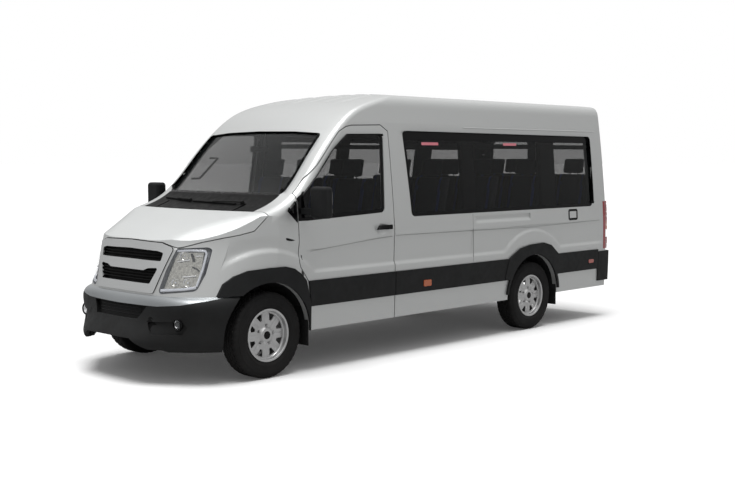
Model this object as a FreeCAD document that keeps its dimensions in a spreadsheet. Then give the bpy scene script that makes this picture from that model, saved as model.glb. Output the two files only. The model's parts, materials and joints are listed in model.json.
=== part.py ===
# Passenger minibus: a unitary van body on a ladder frame, with panels, glass, doors that
# open, steered front wheels and a solid rear axle. Millimetres. X forward, Y to the
# vehicle's left, Z up, origin on the floor under the middle of the whole vehicle.
import FreeCAD, Part
import Sketcher
import math
import os

os.makedirs("parts", exist_ok=True)
Vector = FreeCAD.Vector
document = FreeCAD.newDocument("Minibus")

# Driving dimensions

SIZES = (
    # whole vehicle
    ("wheelbase", 3750), ("front_overhang", 970), ("rear_overhang", 1530),
    ("half_width", 1000), ("roof_height", 2500), ("overrun", 400),
    # body walls and the gaps between panels
    ("wall", 50), ("bonnet_wall", 25), ("glass_inset", 3), ("glass_thickness", 6),
    ("seam", 8), ("door_rear_seam", 10), ("fit_gap", 0.3), ("bearing_gap", 0.05),
    ("recess_depth", 9), ("trim_gap", 12),
    # body form
    ("tail_inset", 60), ("nose_radius", 150), ("pillar_radius", 60), ("tail_radius", 45),
    ("window_radius", 45), ("outline_radius", 30), ("waist_height", 730),
    ("brow_height", 1150),
    ("arch_radius", 452), ("housing_wall", 13), ("housing_inner", 690),
    ("front_housing_inner", 520), ("sill_height", 365),
    ("cladding_low", 575), ("cladding_high", 800), ("cladding_proud", 12), ("arch_proud", 20),
    ("arch_lip", 30), ("arch_low", 420),
    # front face
    ("grille_proud", 8), ("grille_back", 34), ("slat_depth", 10), ("slat_height", 9),
    ("slat_pitch", 24), ("lamp_depth", 66), ("lamp_proud", 2), ("bumper_wall", 42),
    ("scuttle_wall", 22), ("hinge_slot", 26), ("fog_lamp_radius", 42),
    ("fog_recess_depth", 14),
    # rear face
    ("rear_pillar", 112), ("rear_door_edge", 832), ("rear_door_low", 792),
    ("rear_door_high", 2150), ("rear_bumper_low", 430), ("rear_bumper_high", 775),
    ("rear_bumper_side", 14), ("tail_lamp_depth", 30), ("tail_lamp_width", 60),
    ("tail_lamp_low", 800), ("tail_lamp_high", 1356),
    # door hinges and handles
    ("hinge_setback", 30), ("hinge_depth", 14), ("pin_radius", 3), ("pin_length", 80),
    ("arm_height", 16), ("arm_radius", 4.5), ("arm_leg", 4), ("arm_room", 7),
    ("hinge_low", 980), ("swing_room", 6),
    ("hinge_high", 1200), ("rear_hinge_high", 1900), ("bonnet_pin_radius", 6),
    ("bonnet_arm_y", 560), ("bonnet_arm_width", 14), ("bonnet_arm_height", 26),
    ("bonnet_arm_length", 240), ("bracket_width", 12),
    ("handle_length", 190), ("handle_height", 42), ("handle_proud", 26),
    # wheels
    ("tyre_radius", 368), ("tyre_width", 215), ("rim_radius", 226), ("bead_radius", 214),
    ("wheel_track", 1735), ("hub_bore", 30), ("slot_radius", 19), ("slot_circle", 166),
    ("slot_count", 8), ("hub_radius", 62),
    # axles and suspension
    ("kingpin_y", 788), ("knuckle_height", 260), ("knuckle_length", 66), ("spindle_end", 935),
    ("knuckle_width", 46), ("kingpin_radius", 15), ("arm_thickness", 28), ("arm_width", 70),
    ("subframe_height", 80),
    ("subframe_width", 120), ("axle_end", 812),
    ("axle_radius", 45), ("differential_radius", 138), ("spring_width", 66),
    ("spring_length", 1320), ("spring_thickness", 26), ("spring_seat", 5), ("spring_y", 420),
    ("shaft_radius", 30),
    # frame, floor and mechanical masses
    ("rail_offset", 385), ("rail_width", 70), ("rail_low", 470), ("rail_height", 110),
    ("rail_ahead", 700), ("rail_behind", 1350),
    ("member_height", 76), ("member_width", 80), ("floor_thickness", 30),
    ("firewall_thickness", 20), ("dash_inset", 26), ("engine_length", 760), ("engine_width", 520),
    ("engine_height", 600), ("engine_behind", 240), ("gearbox_length", 650),
    ("gearbox_width", 240), ("gearbox_low", 330), ("tank_length", 820), ("tank_width", 330),
    ("tank_height", 240), ("tank_low", 330), ("tank_behind", 1900),
    ("pipe_radius", 28), ("pipe_y", 250), ("pipe_behind", 1230), ("muffler_radius", 80),
    ("muffler_length", 560), ("muffler_drop", 66), ("muffler_ahead", 590),
    ("flap_thickness", 8), ("flap_width", 185), ("flap_outer", 985), ("flap_low", 230),
    ("flap_high", 400),
    # cab and saloon
    ("seat_width", 430), ("seat_depth", 450), ("seat_height", 440), ("seat_back", 620),
    ("seat_thickness", 110), ("headrest_height", 170), ("headrest_width", 260),
    ("leg_width", 60), ("seat_gap", 3), ("rack_depth", 230), ("rack_thickness", 45),
    ("rack_height", 1960), ("aisle_left", 30), ("aisle_right", 455),
    ("steering_wheel_radius", 205), ("steering_grip", 15), ("steering_hub", 45),
    ("steering_depth", 40), ("steering_shaft", 10), ("column_radius", 32),
    ("column_length", 130), ("spoke_width", 36),
    ("mirror_height", 270), ("mirror_width", 190), ("mirror_depth", 110),
    ("mirror_radius", 32), ("mirror_arm", 50),
)

sheet = document.addObject("Spreadsheet::Sheet", "Sizes")
for row, (alias, number) in enumerate(SIZES, start=1):
    sheet.set("A%d" % row, alias)
    sheet.set("B%d" % row, str(number))
    sheet.setAlias("B%d" % row, alias)
document.recompute()
size = {alias: float(sheet.get(alias)) for alias, number in SIZES}

half_width = size["half_width"]
roof_height = size["roof_height"]
wheelbase = size["wheelbase"]
wall = size["wall"]
seam = size["seam"]
fit_gap = size["fit_gap"]
overrun = size["overrun"]
length = size["front_overhang"] + wheelbase + size["rear_overhang"]
nose_end = length / 2
tail_end = -length / 2
front_axle_x = nose_end - size["front_overhang"]
rear_axle_x = front_axle_x - wheelbase
tail_face = tail_end + size["tail_inset"]
wheel_y = size["wheel_track"] / 2
far = 2 * length

# The same places as expressions, for the objects that are bound to the sheet
FRONT_AXLE = "((Sizes.wheelbase + Sizes.rear_overhang - Sizes.front_overhang) / 2)"
REAR_AXLE = "(" + FRONT_AXLE + " - Sizes.wheelbase)"


# Places along and up the vehicle, from shares

def along(station_share):
    """X of a station: 1 is the nose, 0 the front axle, -1 the rear axle, -2 the tail."""
    if station_share > 0:
        return front_axle_x + station_share * size["front_overhang"]
    if station_share > -1:
        return front_axle_x + station_share * wheelbase
    return rear_axle_x + (station_share + 1) * size["rear_overhang"]


def side_outline(shares):
    """Points in the XZ plane from (station share, height share) pairs."""
    return [Vector(along(station), 0, rise * roof_height) for station, rise in shares]


def front_outline(shares):
    """Points in the YZ plane from (half width share, height share) pairs."""
    return [Vector(0, across * half_width, rise * roof_height) for across, rise in shares]


# Plain shapes

def rounded_wire(points, radius):
    """A closed flat outline with every corner rounded as far as its sides allow."""
    edges = []
    ends = []
    count = len(points)
    for index, corner in enumerate(points):
        before = (points[index - 1] - corner)
        after = (points[(index + 1) % count] - corner)
        half_angle = before.getAngle(after) / 2
        reach = radius / math.tan(half_angle)
        reach = min(reach, before.Length * 0.45, after.Length * 0.45)
        used = reach * math.tan(half_angle)
        start = corner + before.normalize() * reach
        end = corner + after.normalize() * reach
        middle_line = (before + after).normalize()
        to_centre = math.hypot(reach, used)
        middle = corner + middle_line * (to_centre - used)
        ends.append((start, middle, end))
    for index, (start, middle, end) in enumerate(ends):
        edges.append(Part.Arc(start, middle, end).toShape())
        edges.append(Part.makeLine(end, ends[(index + 1) % count][0]))
    return Part.Wire(edges)


def prism(points, direction, low, high, radius=0, grow=0):
    """A straight prism of a flat outline between two places along an axis."""
    wire = rounded_wire(points, radius) if radius else Part.makePolygon(points + [points[0]])
    if grow:
        wire = wire.makeOffset2D(grow)
        wider = wire.BoundBox.DiagonalLength > Part.makePolygon(points).BoundBox.DiagonalLength
        if wider != (grow > 0):
            wire = Part.makePolygon(points + [points[0]]).makeOffset2D(-grow)
    face = Part.Face(wire)
    face.translate(direction * low)
    return face.extrude(direction * (high - low))


def block(low, high):
    """A box between two opposite corners."""
    return Part.makeBox(high.x - low.x, high.y - low.y, high.z - low.z, low)


def mirrored(shape):
    """The same shape on the other side of the vehicle."""
    return shape.mirror(Vector(0, 0, 0), Vector(0, 1, 0))


def left_half():
    """A block that holds everything left of the middle."""
    return block(Vector(-far, 0, -far), Vector(far, far, far))


def spline(points, **tangents):
    """A smooth curve through points."""
    curve = Part.BSplineCurve()
    curve.interpolate(points, **tangents)
    return curve


def stepped_inward(points, distance):
    """An open outline of (x, z) pairs moved along its own normals."""
    moved = []
    for index, (first, second) in enumerate(points):
        before = points[max(index - 1, 0)]
        after = points[min(index + 1, len(points) - 1)]
        run, rise = after[0] - before[0], after[1] - before[1]
        step = math.hypot(run, rise)
        moved.append((first - rise / step * distance, second + run / step * distance))
    return moved


# The body's outer form, at any distance inside its outer face

# (height share, half width share) up the body side
SIDE_SHARES = ((0.08, 0.984), (0.24, 0.997), (0.38, 1.0), (0.5, 0.99), (0.64, 0.96),
               (0.8, 0.915), (0.932, 0.87))
ROOF_EDGE_SHARE = 0.775
ROOF_DROP_SHARE = 0.018
SHOULDER_BULGE_SHARES = (0.024, 0.0068)
CROWN_SLOPE_SHARE = 0.12
# (station share, height share) from the roof over the windscreen to the bonnet
PROFILE_SHARES = ((-0.6133, 1.018), (-0.4667, 0.994), (-0.3467, 0.96), (-0.2667, 0.918),
                  (-0.2, 0.8452), (-0.128, 0.734), (-0.0533, 0.618), (-0.016, 0.586),
                  (0.1031, 0.5632), (0.4124, 0.5232), (0.7216, 0.47), (0.9794, 0.404))
SWEEP_CENTRE_SHARE = -1.12
SWEEP_ANGLE = 80
REAR_START_SHARE = -0.6
# (overhang share, half width share) round the nose at the waist
NOSE_PLAN_SHARES = ((0.8196, 0), (0.8041, 0.4), (0.7577, 0.58), (0.6753, 0.71),
                    (0.5825, 0.8), (0.4485, 0.89), (0.3041, 0.95), (0.1134, 0.99),
                    (-0.1546, 1.03))
# the same, round the nose at the brow, where the corners are rounder
NOSE_BROW_SHARES = ((0.8196, 0), (0.8, 0.4), (0.745, 0.56), (0.655, 0.68), (0.54, 0.775),
                    (0.41, 0.855), (0.27, 0.915), (0.09, 0.97), (-0.1546, 1.03))
NOSE_LEAN_SHARE = -0.23
# (half width share, height share) of the bonnet's crown, at its rear and at the nose
CROWN_REAR_SHARES = ((0, 0.70), (0.45, 0.696), (0.65, 0.68), (0.8, 0.668), (1.05, 0.64))
CROWN_NOSE_SHARES = ((0, 0.456), (0.45, 0.447), (0.62, 0.425), (0.78, 0.395), (1.05, 0.33))
CROWN_REAR_SHARE = -0.0933
CROWN_NOSE_SHARE = 0.8247


def section_wire(place, inset):
    """The closed cross section of the body, side to side, at one X."""
    top = roof_height - inset
    points = [Vector(place, across * half_width - inset, rise * roof_height)
              for rise, across in SIDE_SHARES]
    side = spline(points)
    shoulder_start = points[-1]
    roof_edge = Vector(place, ROOF_EDGE_SHARE * half_width - inset * 0.6,
                       top - ROOF_DROP_SHARE * roof_height)
    bulge = Vector(place,
                   (shoulder_start.y + roof_edge.y) / 2 + SHOULDER_BULGE_SHARES[0] * half_width,
                   (shoulder_start.z + roof_edge.z) / 2 + SHOULDER_BULGE_SHARES[1] * roof_height)
    inward = Vector(0, -1, CROWN_SLOPE_SHARE).normalize()
    shoulder = spline([shoulder_start, bulge, roof_edge],
                      InitialTangent=side.tangent(side.LastParameter)[0],
                      FinalTangent=inward).toShape()
    crown = spline([roof_edge, Vector(place, 0, top), Vector(place, -roof_edge.y, roof_edge.z)],
                   InitialTangent=inward,
                   FinalTangent=Vector(0, -1, -CROWN_SLOPE_SHARE).normalize()).toShape()
    side = side.toShape()
    base = Part.makeLine(points[0], Vector(place, -points[0].y, points[0].z))
    return Part.Wire(Part.__sortEdges__([side, shoulder, crown, mirrored(shoulder),
                                         mirrored(side), base]))


def side_prism(inset):
    """The body section run from the tail to past the nose."""
    face = Part.Face(section_wire(tail_face + inset, inset))
    return face.extrude(Vector(length, 0, 0))


def swept_profile(inset):
    """The roof, windscreen and bonnet profile turned about an upright line in the saloon."""
    points = [(along(station), rise * roof_height) for station, rise in PROFILE_SHARES]
    if inset:
        points = stepped_inward(points, -inset)
    centre = Vector(front_axle_x + SWEEP_CENTRE_SHARE * wheelbase, 0, 0)
    over = roof_height + overrun
    start, end = points[0], points[-1]
    curve = spline([Vector(x, 0, z) for x, z in points]).toShape()
    corners = [Vector(end[0], 0, end[1]), Vector(end[0], 0, 0), Vector(centre.x, 0, 0),
               Vector(centre.x, 0, over), Vector(start[0], 0, over),
               Vector(start[0], 0, start[1])]
    edges = [curve] + [Part.makeLine(a, b) for a, b in zip(corners, corners[1:])]
    face = Part.Face(Part.Wire(edges))
    face.rotate(centre, Vector(0, 0, 1), -SWEEP_ANGLE / 2)
    swept = face.revolve(centre, Vector(0, 0, 1), SWEEP_ANGLE)
    rear_start = front_axle_x + REAR_START_SHARE * wheelbase
    rear = block(Vector(tail_end - overrun, -half_width - overrun, 0),
                 Vector(rear_start, half_width + overrun, over))
    return swept.fuse(rear)


def nose_plan(shares, inset, height):
    """The outline round the nose and back past the tail, at one height."""
    points = [(front_axle_x + ahead * size["front_overhang"], across * half_width)
              for ahead, across in shares]
    if inset:
        middle = points[0][0] - inset
        points = stepped_inward(points, inset)
        points[0] = (middle, 0)
    leant = NOSE_LEAN_SHARE * (height - size["waist_height"])
    plan = [Vector(x + leant, -y, height) for x, y in reversed(points)]
    plan = plan[:-1] + [Vector(x + leant, y, height) for x, y in points]
    curve = spline(plan).toShape()
    right, left = plan[0], plan[-1]
    back = tail_end - overrun
    corners = [left, Vector(back, left.y, height), Vector(back, right.y, height), right]
    return Part.Wire([curve] + [Part.makeLine(a, b) for a, b in zip(corners, corners[1:])])


def nose_prism(inset):
    """The room inside the plan of the nose, which leans back and rounds off as it rises."""
    waist = size["waist_height"]
    rows = ((NOSE_PLAN_SHARES, 0), (NOSE_PLAN_SHARES, waist),
            (NOSE_BROW_SHARES, size["brow_height"]),
            (NOSE_BROW_SHARES, roof_height + overrun))
    return Part.makeLoft([nose_plan(shares, inset, height) for shares, height in rows],
                         True, True)


def crown_solid(inset):
    """What lies under the bonnet's crown, and everything behind the windscreen's foot."""
    wires = []
    for station, shares in ((CROWN_REAR_SHARE, CROWN_REAR_SHARES),
                            (CROWN_NOSE_SHARE, CROWN_NOSE_SHARES)):
        place = along(station)
        points = [Vector(place, across * half_width, rise * roof_height - inset)
                  for across, rise in shares]
        both = [Vector(p.x, -p.y, p.z) for p in reversed(points)][:-1] + points
        curve = spline(both).toShape()
        first, last = both[0], both[-1]
        low_first, low_last = Vector(place, first.y, 0), Vector(place, last.y, 0)
        wires.append(Part.Wire([curve, Part.makeLine(last, low_last),
                                Part.makeLine(low_last, low_first),
                                Part.makeLine(low_first, first)]))
    crown = Part.makeLoft(wires, True, True)
    behind = block(Vector(tail_end - overrun, -half_width - overrun, 0),
                   Vector(along(CROWN_REAR_SHARE), half_width + overrun,
                          roof_height + overrun))
    ahead = block(Vector(along(CROWN_NOSE_SHARE), -half_width - overrun, 0),
                  Vector(nose_end + overrun, half_width + overrun, roof_height))
    return crown.fuse(behind).fuse(ahead)


def body_half(inset):
    """The left half of the solid inside a skin a given distance within the outer face."""
    form = side_prism(inset).common(swept_profile(inset)).removeSplitter()
    half = form.common(left_half())
    top_edges = [edge for edge in half.Edges
                 if edge.BoundBox.ZMin < 0.52 * roof_height
                 and edge.BoundBox.ZMax > 0.8 * roof_height
                 and edge.BoundBox.XLength > 0.1 * length
                 and edge.CenterOfMass.y > 0.8 * half_width]
    nose_radius = size["nose_radius"] - inset
    pillar_radius = size["pillar_radius"] - inset
    edge = top_edges[0]
    nose_first = edge.valueAt(edge.FirstParameter).x > edge.valueAt(edge.LastParameter).x
    radii = (nose_radius, pillar_radius) if nose_first else (pillar_radius, nose_radius)
    if pillar_radius > 0:
        half = half.makeFillet(radii[0], radii[1], top_edges)
    half = half.common(nose_prism(inset)).common(crown_solid(inset))
    face_x = tail_face + inset
    tail_edges = [edge for edge in half.Edges
                  if abs(edge.BoundBox.XMax - face_x) < fit_gap
                  and edge.BoundBox.XLength < fit_gap
                  and edge.BoundBox.YMax > 0.01 * half_width
                  and edge.BoundBox.ZMax > 0.5 * roof_height
                  and not (edge.BoundBox.YLength < fit_gap and edge.BoundBox.YMax < fit_gap)]
    tail_radius = size["tail_radius"] - inset
    if tail_radius > 0:
        half = half.makeFillet(tail_radius, tail_edges)
    return half


def whole(half):
    """Both halves of a piece that crosses the middle, as one solid."""
    return half.fuse(mirrored(half)).removeSplitter()


def pair(half):
    """The left piece and its mirror image, as two solids."""
    return Part.makeCompound([half, mirrored(half)])


outer = body_half(0)
inner = body_half(wall)
side_low = size["sill_height"]
left = left_half()
across_y = Vector(0, 1, 0)
along_x = Vector(1, 0, 0)
pieces = {}


def skin(outside, inside):
    """The left half of a skin between two distances inside the outer face, for the
    straight stretch of the body behind the windscreen."""
    faces = [Part.Face(section_wire(tail_face, inset)) for inset in (outside, inside)]
    strip = block(Vector(-far, 0, 0), Vector(far, far, roof_low))
    ring = faces[0].cut(faces[1]).common(strip)
    return ring.Faces[0].extrude(Vector(length, 0, 0))


def front_skin(outside, inside, shape):
    """A skin of the nose between two distances inside its face, held in a shape."""
    outer_side = nose_prism(outside).common(shape)
    return outer_side.cut(nose_prism(inside))


def between_heights(low, high):
    """A block over the whole vehicle between two heights."""
    return block(Vector(-far, -far, low), Vector(far, far, high))


def between_stations(low_x, high_x):
    """A block over the whole vehicle between two places along it."""
    return block(Vector(low_x, -far, -far), Vector(high_x, far, far))


def wheel_cylinder(place_x, radius, low_y, high_y):
    """A cylinder about a wheel's axle line."""
    centre = Vector(place_x, low_y, size["tyre_radius"])
    return Part.makeCylinder(radius, high_y - low_y, centre, across_y)


# Roof and side panels

ROOF_LOW_SHARE = 0.876
DOOR_SHARES = ((-0.1213, 0.146), (-0.1213, 0.24), (-0.1152, 0.32), (-0.0992, 0.354),
               (-0.0907, 0.372), (-0.088, 0.386), (-0.088, 0.628), (-0.16, 0.718),
               (-0.2133, 0.801), (-0.24, 0.839), (-0.2627, 0.856), (-0.2827, 0.862),
               (-0.384, 0.866), (-0.408, 0.844), (-0.408, 0.146))
DOOR_WINDOW_SHARES = ((-0.1027, 0.5272), (-0.376, 0.544), (-0.3899, 0.8352),
                      (-0.2627, 0.832), (-0.2133, 0.778), (-0.16, 0.694),
                      (-0.1027, 0.618))
QUARTER_SHARES = ((-0.0547, 0.5652), (-0.0832, 0.5236), (-0.0856, 0.5236),
                  (-0.0856, 0.6048))
BAND_SHARES = ((-0.4613, 0.848), (-0.476, 0.5224), (-1.7595, 0.5224), (-1.768, 0.842))
PANE_SHARES = (
    ((-0.468, 0.834), (-0.4827, 0.536), (-0.6893, 0.536), (-0.6933, 0.834)),
    ((-0.7467, 0.832), (-0.744, 0.536), (-1.1176, 0.536), (-1.1373, 0.832)),
    ((-1.3137, 0.828), (-1.2941, 0.536), (-1.7386, 0.536), (-1.7451, 0.828)),
)
SLIDING_SHARES = ((-0.4267, 0.16), (-0.7227, 0.16), (-0.7227, 0.86), (-0.4267, 0.86))
SLIDING_BAND_SHARES = ((-0.4613, 0.848), (-0.476, 0.5224), (-0.712, 0.5224),
                       (-0.712, 0.848))
SLIDING_PANE_SHARES = ((-0.4707, 0.834), (-0.484, 0.536), (-0.7027, 0.536),
                       (-0.7027, 0.834))
REAR_BAND_SHARES = ((-0.7339, 0.848), (-0.7339, 0.5224), (-1.7595, 0.5224),
                    (-1.768, 0.842))
WINDSCREEN_SHARES = ((-0.817, 0.6156), (0.817, 0.6156), (0.775, 0.834), (0.46, 0.842),
                     (0, 0.8448), (-0.46, 0.842), (-0.775, 0.834))

roof_low = ROOF_LOW_SHARE * roof_height
window_radius = size["window_radius"]
rear_frame_front = tail_face + size["rear_pillar"]
side_front = along(DOOR_SHARES[-1][0]) - size["door_rear_seam"]
recess = size["recess_depth"]

roof_zone = between_heights(roof_low, far)
pieces["roof"] = whole(outer.common(roof_zone).cut(inner))

side_skin = skin(0, wall)
arch_cuts = [wheel_cylinder(rear_axle_x, size["arch_radius"], 0, far)]
side_blank = side_skin.common(block(Vector(rear_frame_front, 0, side_low),
                                    Vector(side_front, far, roof_low)))
side_blank = side_blank.cut(arch_cuts)


def glazed(panel, band_shares, pane_list):
    """A side panel with a shallow recess for its flush glass and an opening for each pane."""
    glass_seat = skin(0, recess)
    band = prism(side_outline(band_shares), across_y, 0, far, window_radius)
    cuts = [glass_seat.common(band)]
    for pane_shares in pane_list:
        cuts.append(prism(side_outline(pane_shares), across_y, 0, far, window_radius))
    return panel.cut(cuts)


def flush_glass(band_shares):
    """A pane bonded in the recess, level with the panel round it."""
    glass = skin(recess - fit_gap - size["glass_thickness"], recess - fit_gap)
    band = prism(side_outline(band_shares), across_y, 0, far, window_radius, -fit_gap)
    return glass.common(band)


side_left = glazed(side_blank, BAND_SHARES, PANE_SHARES)
glass_left = flush_glass(BAND_SHARES)

sliding_prism = prism(side_outline(SLIDING_SHARES), across_y, 0, far, size["outline_radius"])
sliding_hole = prism(side_outline(SLIDING_SHARES), across_y, 0, far, size["outline_radius"],
                     fit_gap)
sliding = glazed(side_blank.common(sliding_prism), SLIDING_BAND_SHARES,
                 (SLIDING_PANE_SHARES,))
side_right = glazed(side_blank.cut(sliding_hole), REAR_BAND_SHARES, PANE_SHARES[1:])
pieces["side_panels"] = Part.makeCompound([side_left, mirrored(side_right)])
pieces["sliding_door"] = mirrored(sliding)

# Front doors

door_inside = side_prism(wall + seam)
door_prism = prism(side_outline(DOOR_SHARES), across_y, 0, far)
door_hole = prism(side_outline(DOOR_SHARES), across_y, 0, far, 0, seam).cut(door_inside)
door_window = prism(side_outline(DOOR_WINDOW_SHARES), across_y, 0, far, window_radius)
door_pane = prism(side_outline(DOOR_WINDOW_SHARES), across_y, 0, far, window_radius,
                  -fit_gap)
door_hinge_x = along(DOOR_SHARES[5][0]) - size["hinge_setback"]
door_hinge_y = half_width - size["hinge_depth"]
rear_hinge_x = tail_face + size["hinge_depth"]
rear_hinge_y = size["rear_door_edge"] - size["hinge_setback"]


def hinge_notch(x, y, z, outward, forward):
    """Room in a door for a hinge arm, with the hole for its pin. The door lies behind
    the pin, seen along forward, and outward points out of the vehicle."""
    half_height = size["arm_height"] / 2 + size["arm_room"]
    room = size["arm_radius"] + size["arm_room"] / 2
    skin_room = size["arm_radius"] + 1.5 * fit_gap
    centre = Vector(x, y, z)
    corners = [centre - forward * room + outward * skin_room,
               centre + forward * (size["hinge_setback"] + seam) + outward * skin_room,
               centre + forward * (size["hinge_setback"] + seam) - outward * wall * 2,
               centre - forward * room - outward * wall * 2]
    low = Vector(0, 0, -half_height)
    face = Part.Face(Part.makePolygon([c + low for c in corners + [corners[0]]]))
    room_solid = face.extrude(Vector(0, 0, 2 * half_height))
    hole_length = size["pin_length"] + 2 * size["arm_room"]
    hole = Part.makeCylinder(size["pin_radius"] + fit_gap, hole_length,
                             centre - Vector(0, 0, hole_length / 2))
    return room_solid.fuse(hole)


def hinge_arm(x, y, z, outward, forward):
    """A hinge arm from the body's pillar round to its pin."""
    height = size["arm_height"]
    radius = size["arm_radius"]
    centre = Vector(x, y, z)
    inboard = wall - size["hinge_depth"] - fit_gap
    reach = size["hinge_setback"] + seam
    leg = size["arm_leg"]
    corners = [centre - forward * radius, centre + forward * radius,
               centre + forward * radius - outward * (inboard - leg),
               centre + forward * reach - outward * (inboard - leg),
               centre + forward * reach - outward * inboard,
               centre - forward * radius - outward * inboard]
    low = Vector(0, 0, -height / 2)
    face = Part.Face(Part.makePolygon([c + low for c in corners + [corners[0]]]))
    arm = face.extrude(Vector(0, 0, height))
    end = Part.makeCylinder(radius, height, centre + low)
    pin = Part.makeCylinder(size["pin_radius"], size["pin_length"],
                            centre - Vector(0, 0, size["pin_length"] / 2))
    return arm.fuse([end, pin]).removeSplitter()


rearward = Vector(-1, 0, 0)
forward = Vector(1, 0, 0)
outward_left = Vector(0, 1, 0)
door_hinges = [(door_hinge_x, door_hinge_y, z, outward_left, forward)
               for z in (size["hinge_low"], size["hinge_high"])]
rear_hinges = [(rear_hinge_x, rear_hinge_y, z, rearward, outward_left)
               for z in (size["hinge_low"], size["rear_hinge_high"])]

door = outer.common(door_prism).cut(side_prism(wall))
door = door.cut([door_window] + [hinge_notch(*place) for place in door_hinges])
handle_rear_share = DOOR_SHARES[-1][0] + 0.012
handle_height_share = 0.489


def handle():
    """A pull handle that stands off the door's skin."""
    height = size["handle_height"]
    middle_z = handle_height_share * roof_height
    rear_x = along(handle_rear_share)
    base = skin(-size["handle_proud"], 0)
    bar = block(Vector(rear_x, 0, middle_z - height / 2),
                Vector(rear_x + size["handle_length"], far, middle_z + height / 2))
    grip_room = block(Vector(rear_x + 0.2 * size["handle_length"], 0, middle_z - height),
                      Vector(rear_x + 0.8 * size["handle_length"], far, middle_z + height))
    shallow = skin(-0.5 * size["handle_proud"], 0)
    return base.common(bar).cut(shallow.common(grip_room))


pieces["driver_door"] = door.fuse(handle())
pieces["passenger_door"] = mirrored(pieces["driver_door"])
door_glass = skin(size["glass_inset"] * 3, size["glass_inset"] * 3 + size["glass_thickness"])
pieces["driver_door_window"] = door_glass.common(door_pane)
pieces["passenger_door_window"] = mirrored(pieces["driver_door_window"])

# Rear frame and rear doors

rear_blank = outer.common(block(Vector(-far, -far, side_low),
                                Vector(rear_frame_front, far, roof_low))).cut(inner)
edge_y = size["rear_door_edge"]
rear_low, rear_high = size["rear_door_low"], size["rear_door_high"]
rear_hole = block(Vector(-far, -edge_y - seam, rear_low - seam),
                  Vector(rear_frame_front, edge_y + seam, rear_high + seam))
lamp_inner_y = half_width - size["tail_lamp_width"]
lamp_block = block(Vector(-far, lamp_inner_y, size["tail_lamp_low"]),
                   Vector(tail_face + size["tail_lamp_depth"], far, size["tail_lamp_high"]))
pieces["rear_frame"] = whole(rear_blank.cut([rear_hole, lamp_block]))
lamp_inset = block(Vector(-far, lamp_inner_y + fit_gap, size["tail_lamp_low"] + fit_gap),
                   Vector(tail_face + size["tail_lamp_depth"] - fit_gap, far,
                          size["tail_lamp_high"] - fit_gap))
pieces["tail_lamps"] = pair(outer.common(lamp_inset))

REAR_WINDOW_SHARES = ((0.12, 0.544), (0.74, 0.544), (0.7, 0.826), (0.12, 0.826))
rear_door = block(Vector(tail_face, seam / 2, rear_low),
                  Vector(tail_face + wall, edge_y, rear_high))
rear_window = prism(front_outline(REAR_WINDOW_SHARES), along_x, -far, 0, window_radius)
rear_door = rear_door.cut([rear_window] + [hinge_notch(*place) for place in rear_hinges])
pieces["rear_door_left"] = rear_door
pieces["rear_door_right"] = mirrored(rear_door)
glass_x = tail_face + 2 * size["glass_inset"]
rear_pane = prism(front_outline(REAR_WINDOW_SHARES), along_x, glass_x,
                  glass_x + size["glass_thickness"], window_radius, -fit_gap)
pieces["rear_window_left"] = rear_pane
pieces["rear_window_right"] = mirrored(rear_pane)

arms = [hinge_arm(*place) for place in door_hinges + rear_hinges]
pieces["door_hinges"] = Part.makeCompound(arms + [mirrored(arm) for arm in arms])

# Cab front: windscreen, bonnet, scuttle, fenders and the frame round them

BONNET_REAR_SHARE = 1.1467
BONNET_SIDE_SHARES = ((-0.02, 0.70), (-0.02, 0.5784), (0.12, 0.503), (0.237, 0.492),
                      (0.377, 0.482), (0.516, 0.4695), (0.64, 0.4518), (0.66, 0.4505),
                      (1.1, 0.4505), (1.1, 0.70))
BONNET_FRONT_SHARES = ((-1.2, 0.36), (-0.9, 0.45), (-0.62, 0.45), (-0.556, 0.451),
                       (-0.414, 0.4665), (0, 0.4705), (0.414, 0.4665), (0.556, 0.451),
                       (0.62, 0.45), (0.9, 0.45), (1.2, 0.36), (1.2, 0.8), (-1.2, 0.8))
SCUTTLE_REAR_SHARE = 1.0675
GRILLE_SHARES = ((-0.538, 0.4493), (-0.414, 0.464), (0, 0.468), (0.414, 0.464),
                 (0.538, 0.4493), (0.412, 0.2985), (-0.412, 0.2985))
GRILLE_TOP_OPENING_SHARES = ((-0.448, 0.432), (-0.38, 0.4375), (0, 0.4405), (0.38, 0.4375),
                             (0.448, 0.432), (0.436, 0.4045), (0, 0.4055), (-0.436, 0.4045))
GRILLE_LOW_OPENING_SHARES = ((-0.421, 0.3825), (-0.3, 0.379), (-0.245, 0.371),
                             (0.245, 0.371), (0.3, 0.379), (0.421, 0.3825),
                             (0.352, 0.329), (-0.352, 0.329))
LAMP_SHARES = ((0.562, 0.447), (0.775, 0.4515), (0.779, 0.366), (0.756, 0.312),
               (0.463, 0.2985), (0.505, 0.377))
FENDER_TOP_SHARE = 0.52
FENDER_EDGE_SHARE = 0.845
FIREWALL_SHARE = -0.0853
FENDER_REAR_SHARE = -0.2
SCUTTLE_SIDE_SHARE = 0.8
BONNET_HINGE_SHARES = (-0.0267, 0.554)
sweep_x = front_axle_x + SWEEP_CENTRE_SHARE * wheelbase
bonnet_rear_radius = BONNET_REAR_SHARE * wheelbase
scuttle_rear_radius = SCUTTLE_REAR_SHARE * wheelbase
bonnet_hinge_x = along(BONNET_HINGE_SHARES[0])
bonnet_hinge_z = BONNET_HINGE_SHARES[1] * roof_height


def upright_round(radius):
    """A tall cylinder about the line that the nose is swept about."""
    return Part.makeCylinder(radius, far, Vector(sweep_x, 0, 0))


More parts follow.
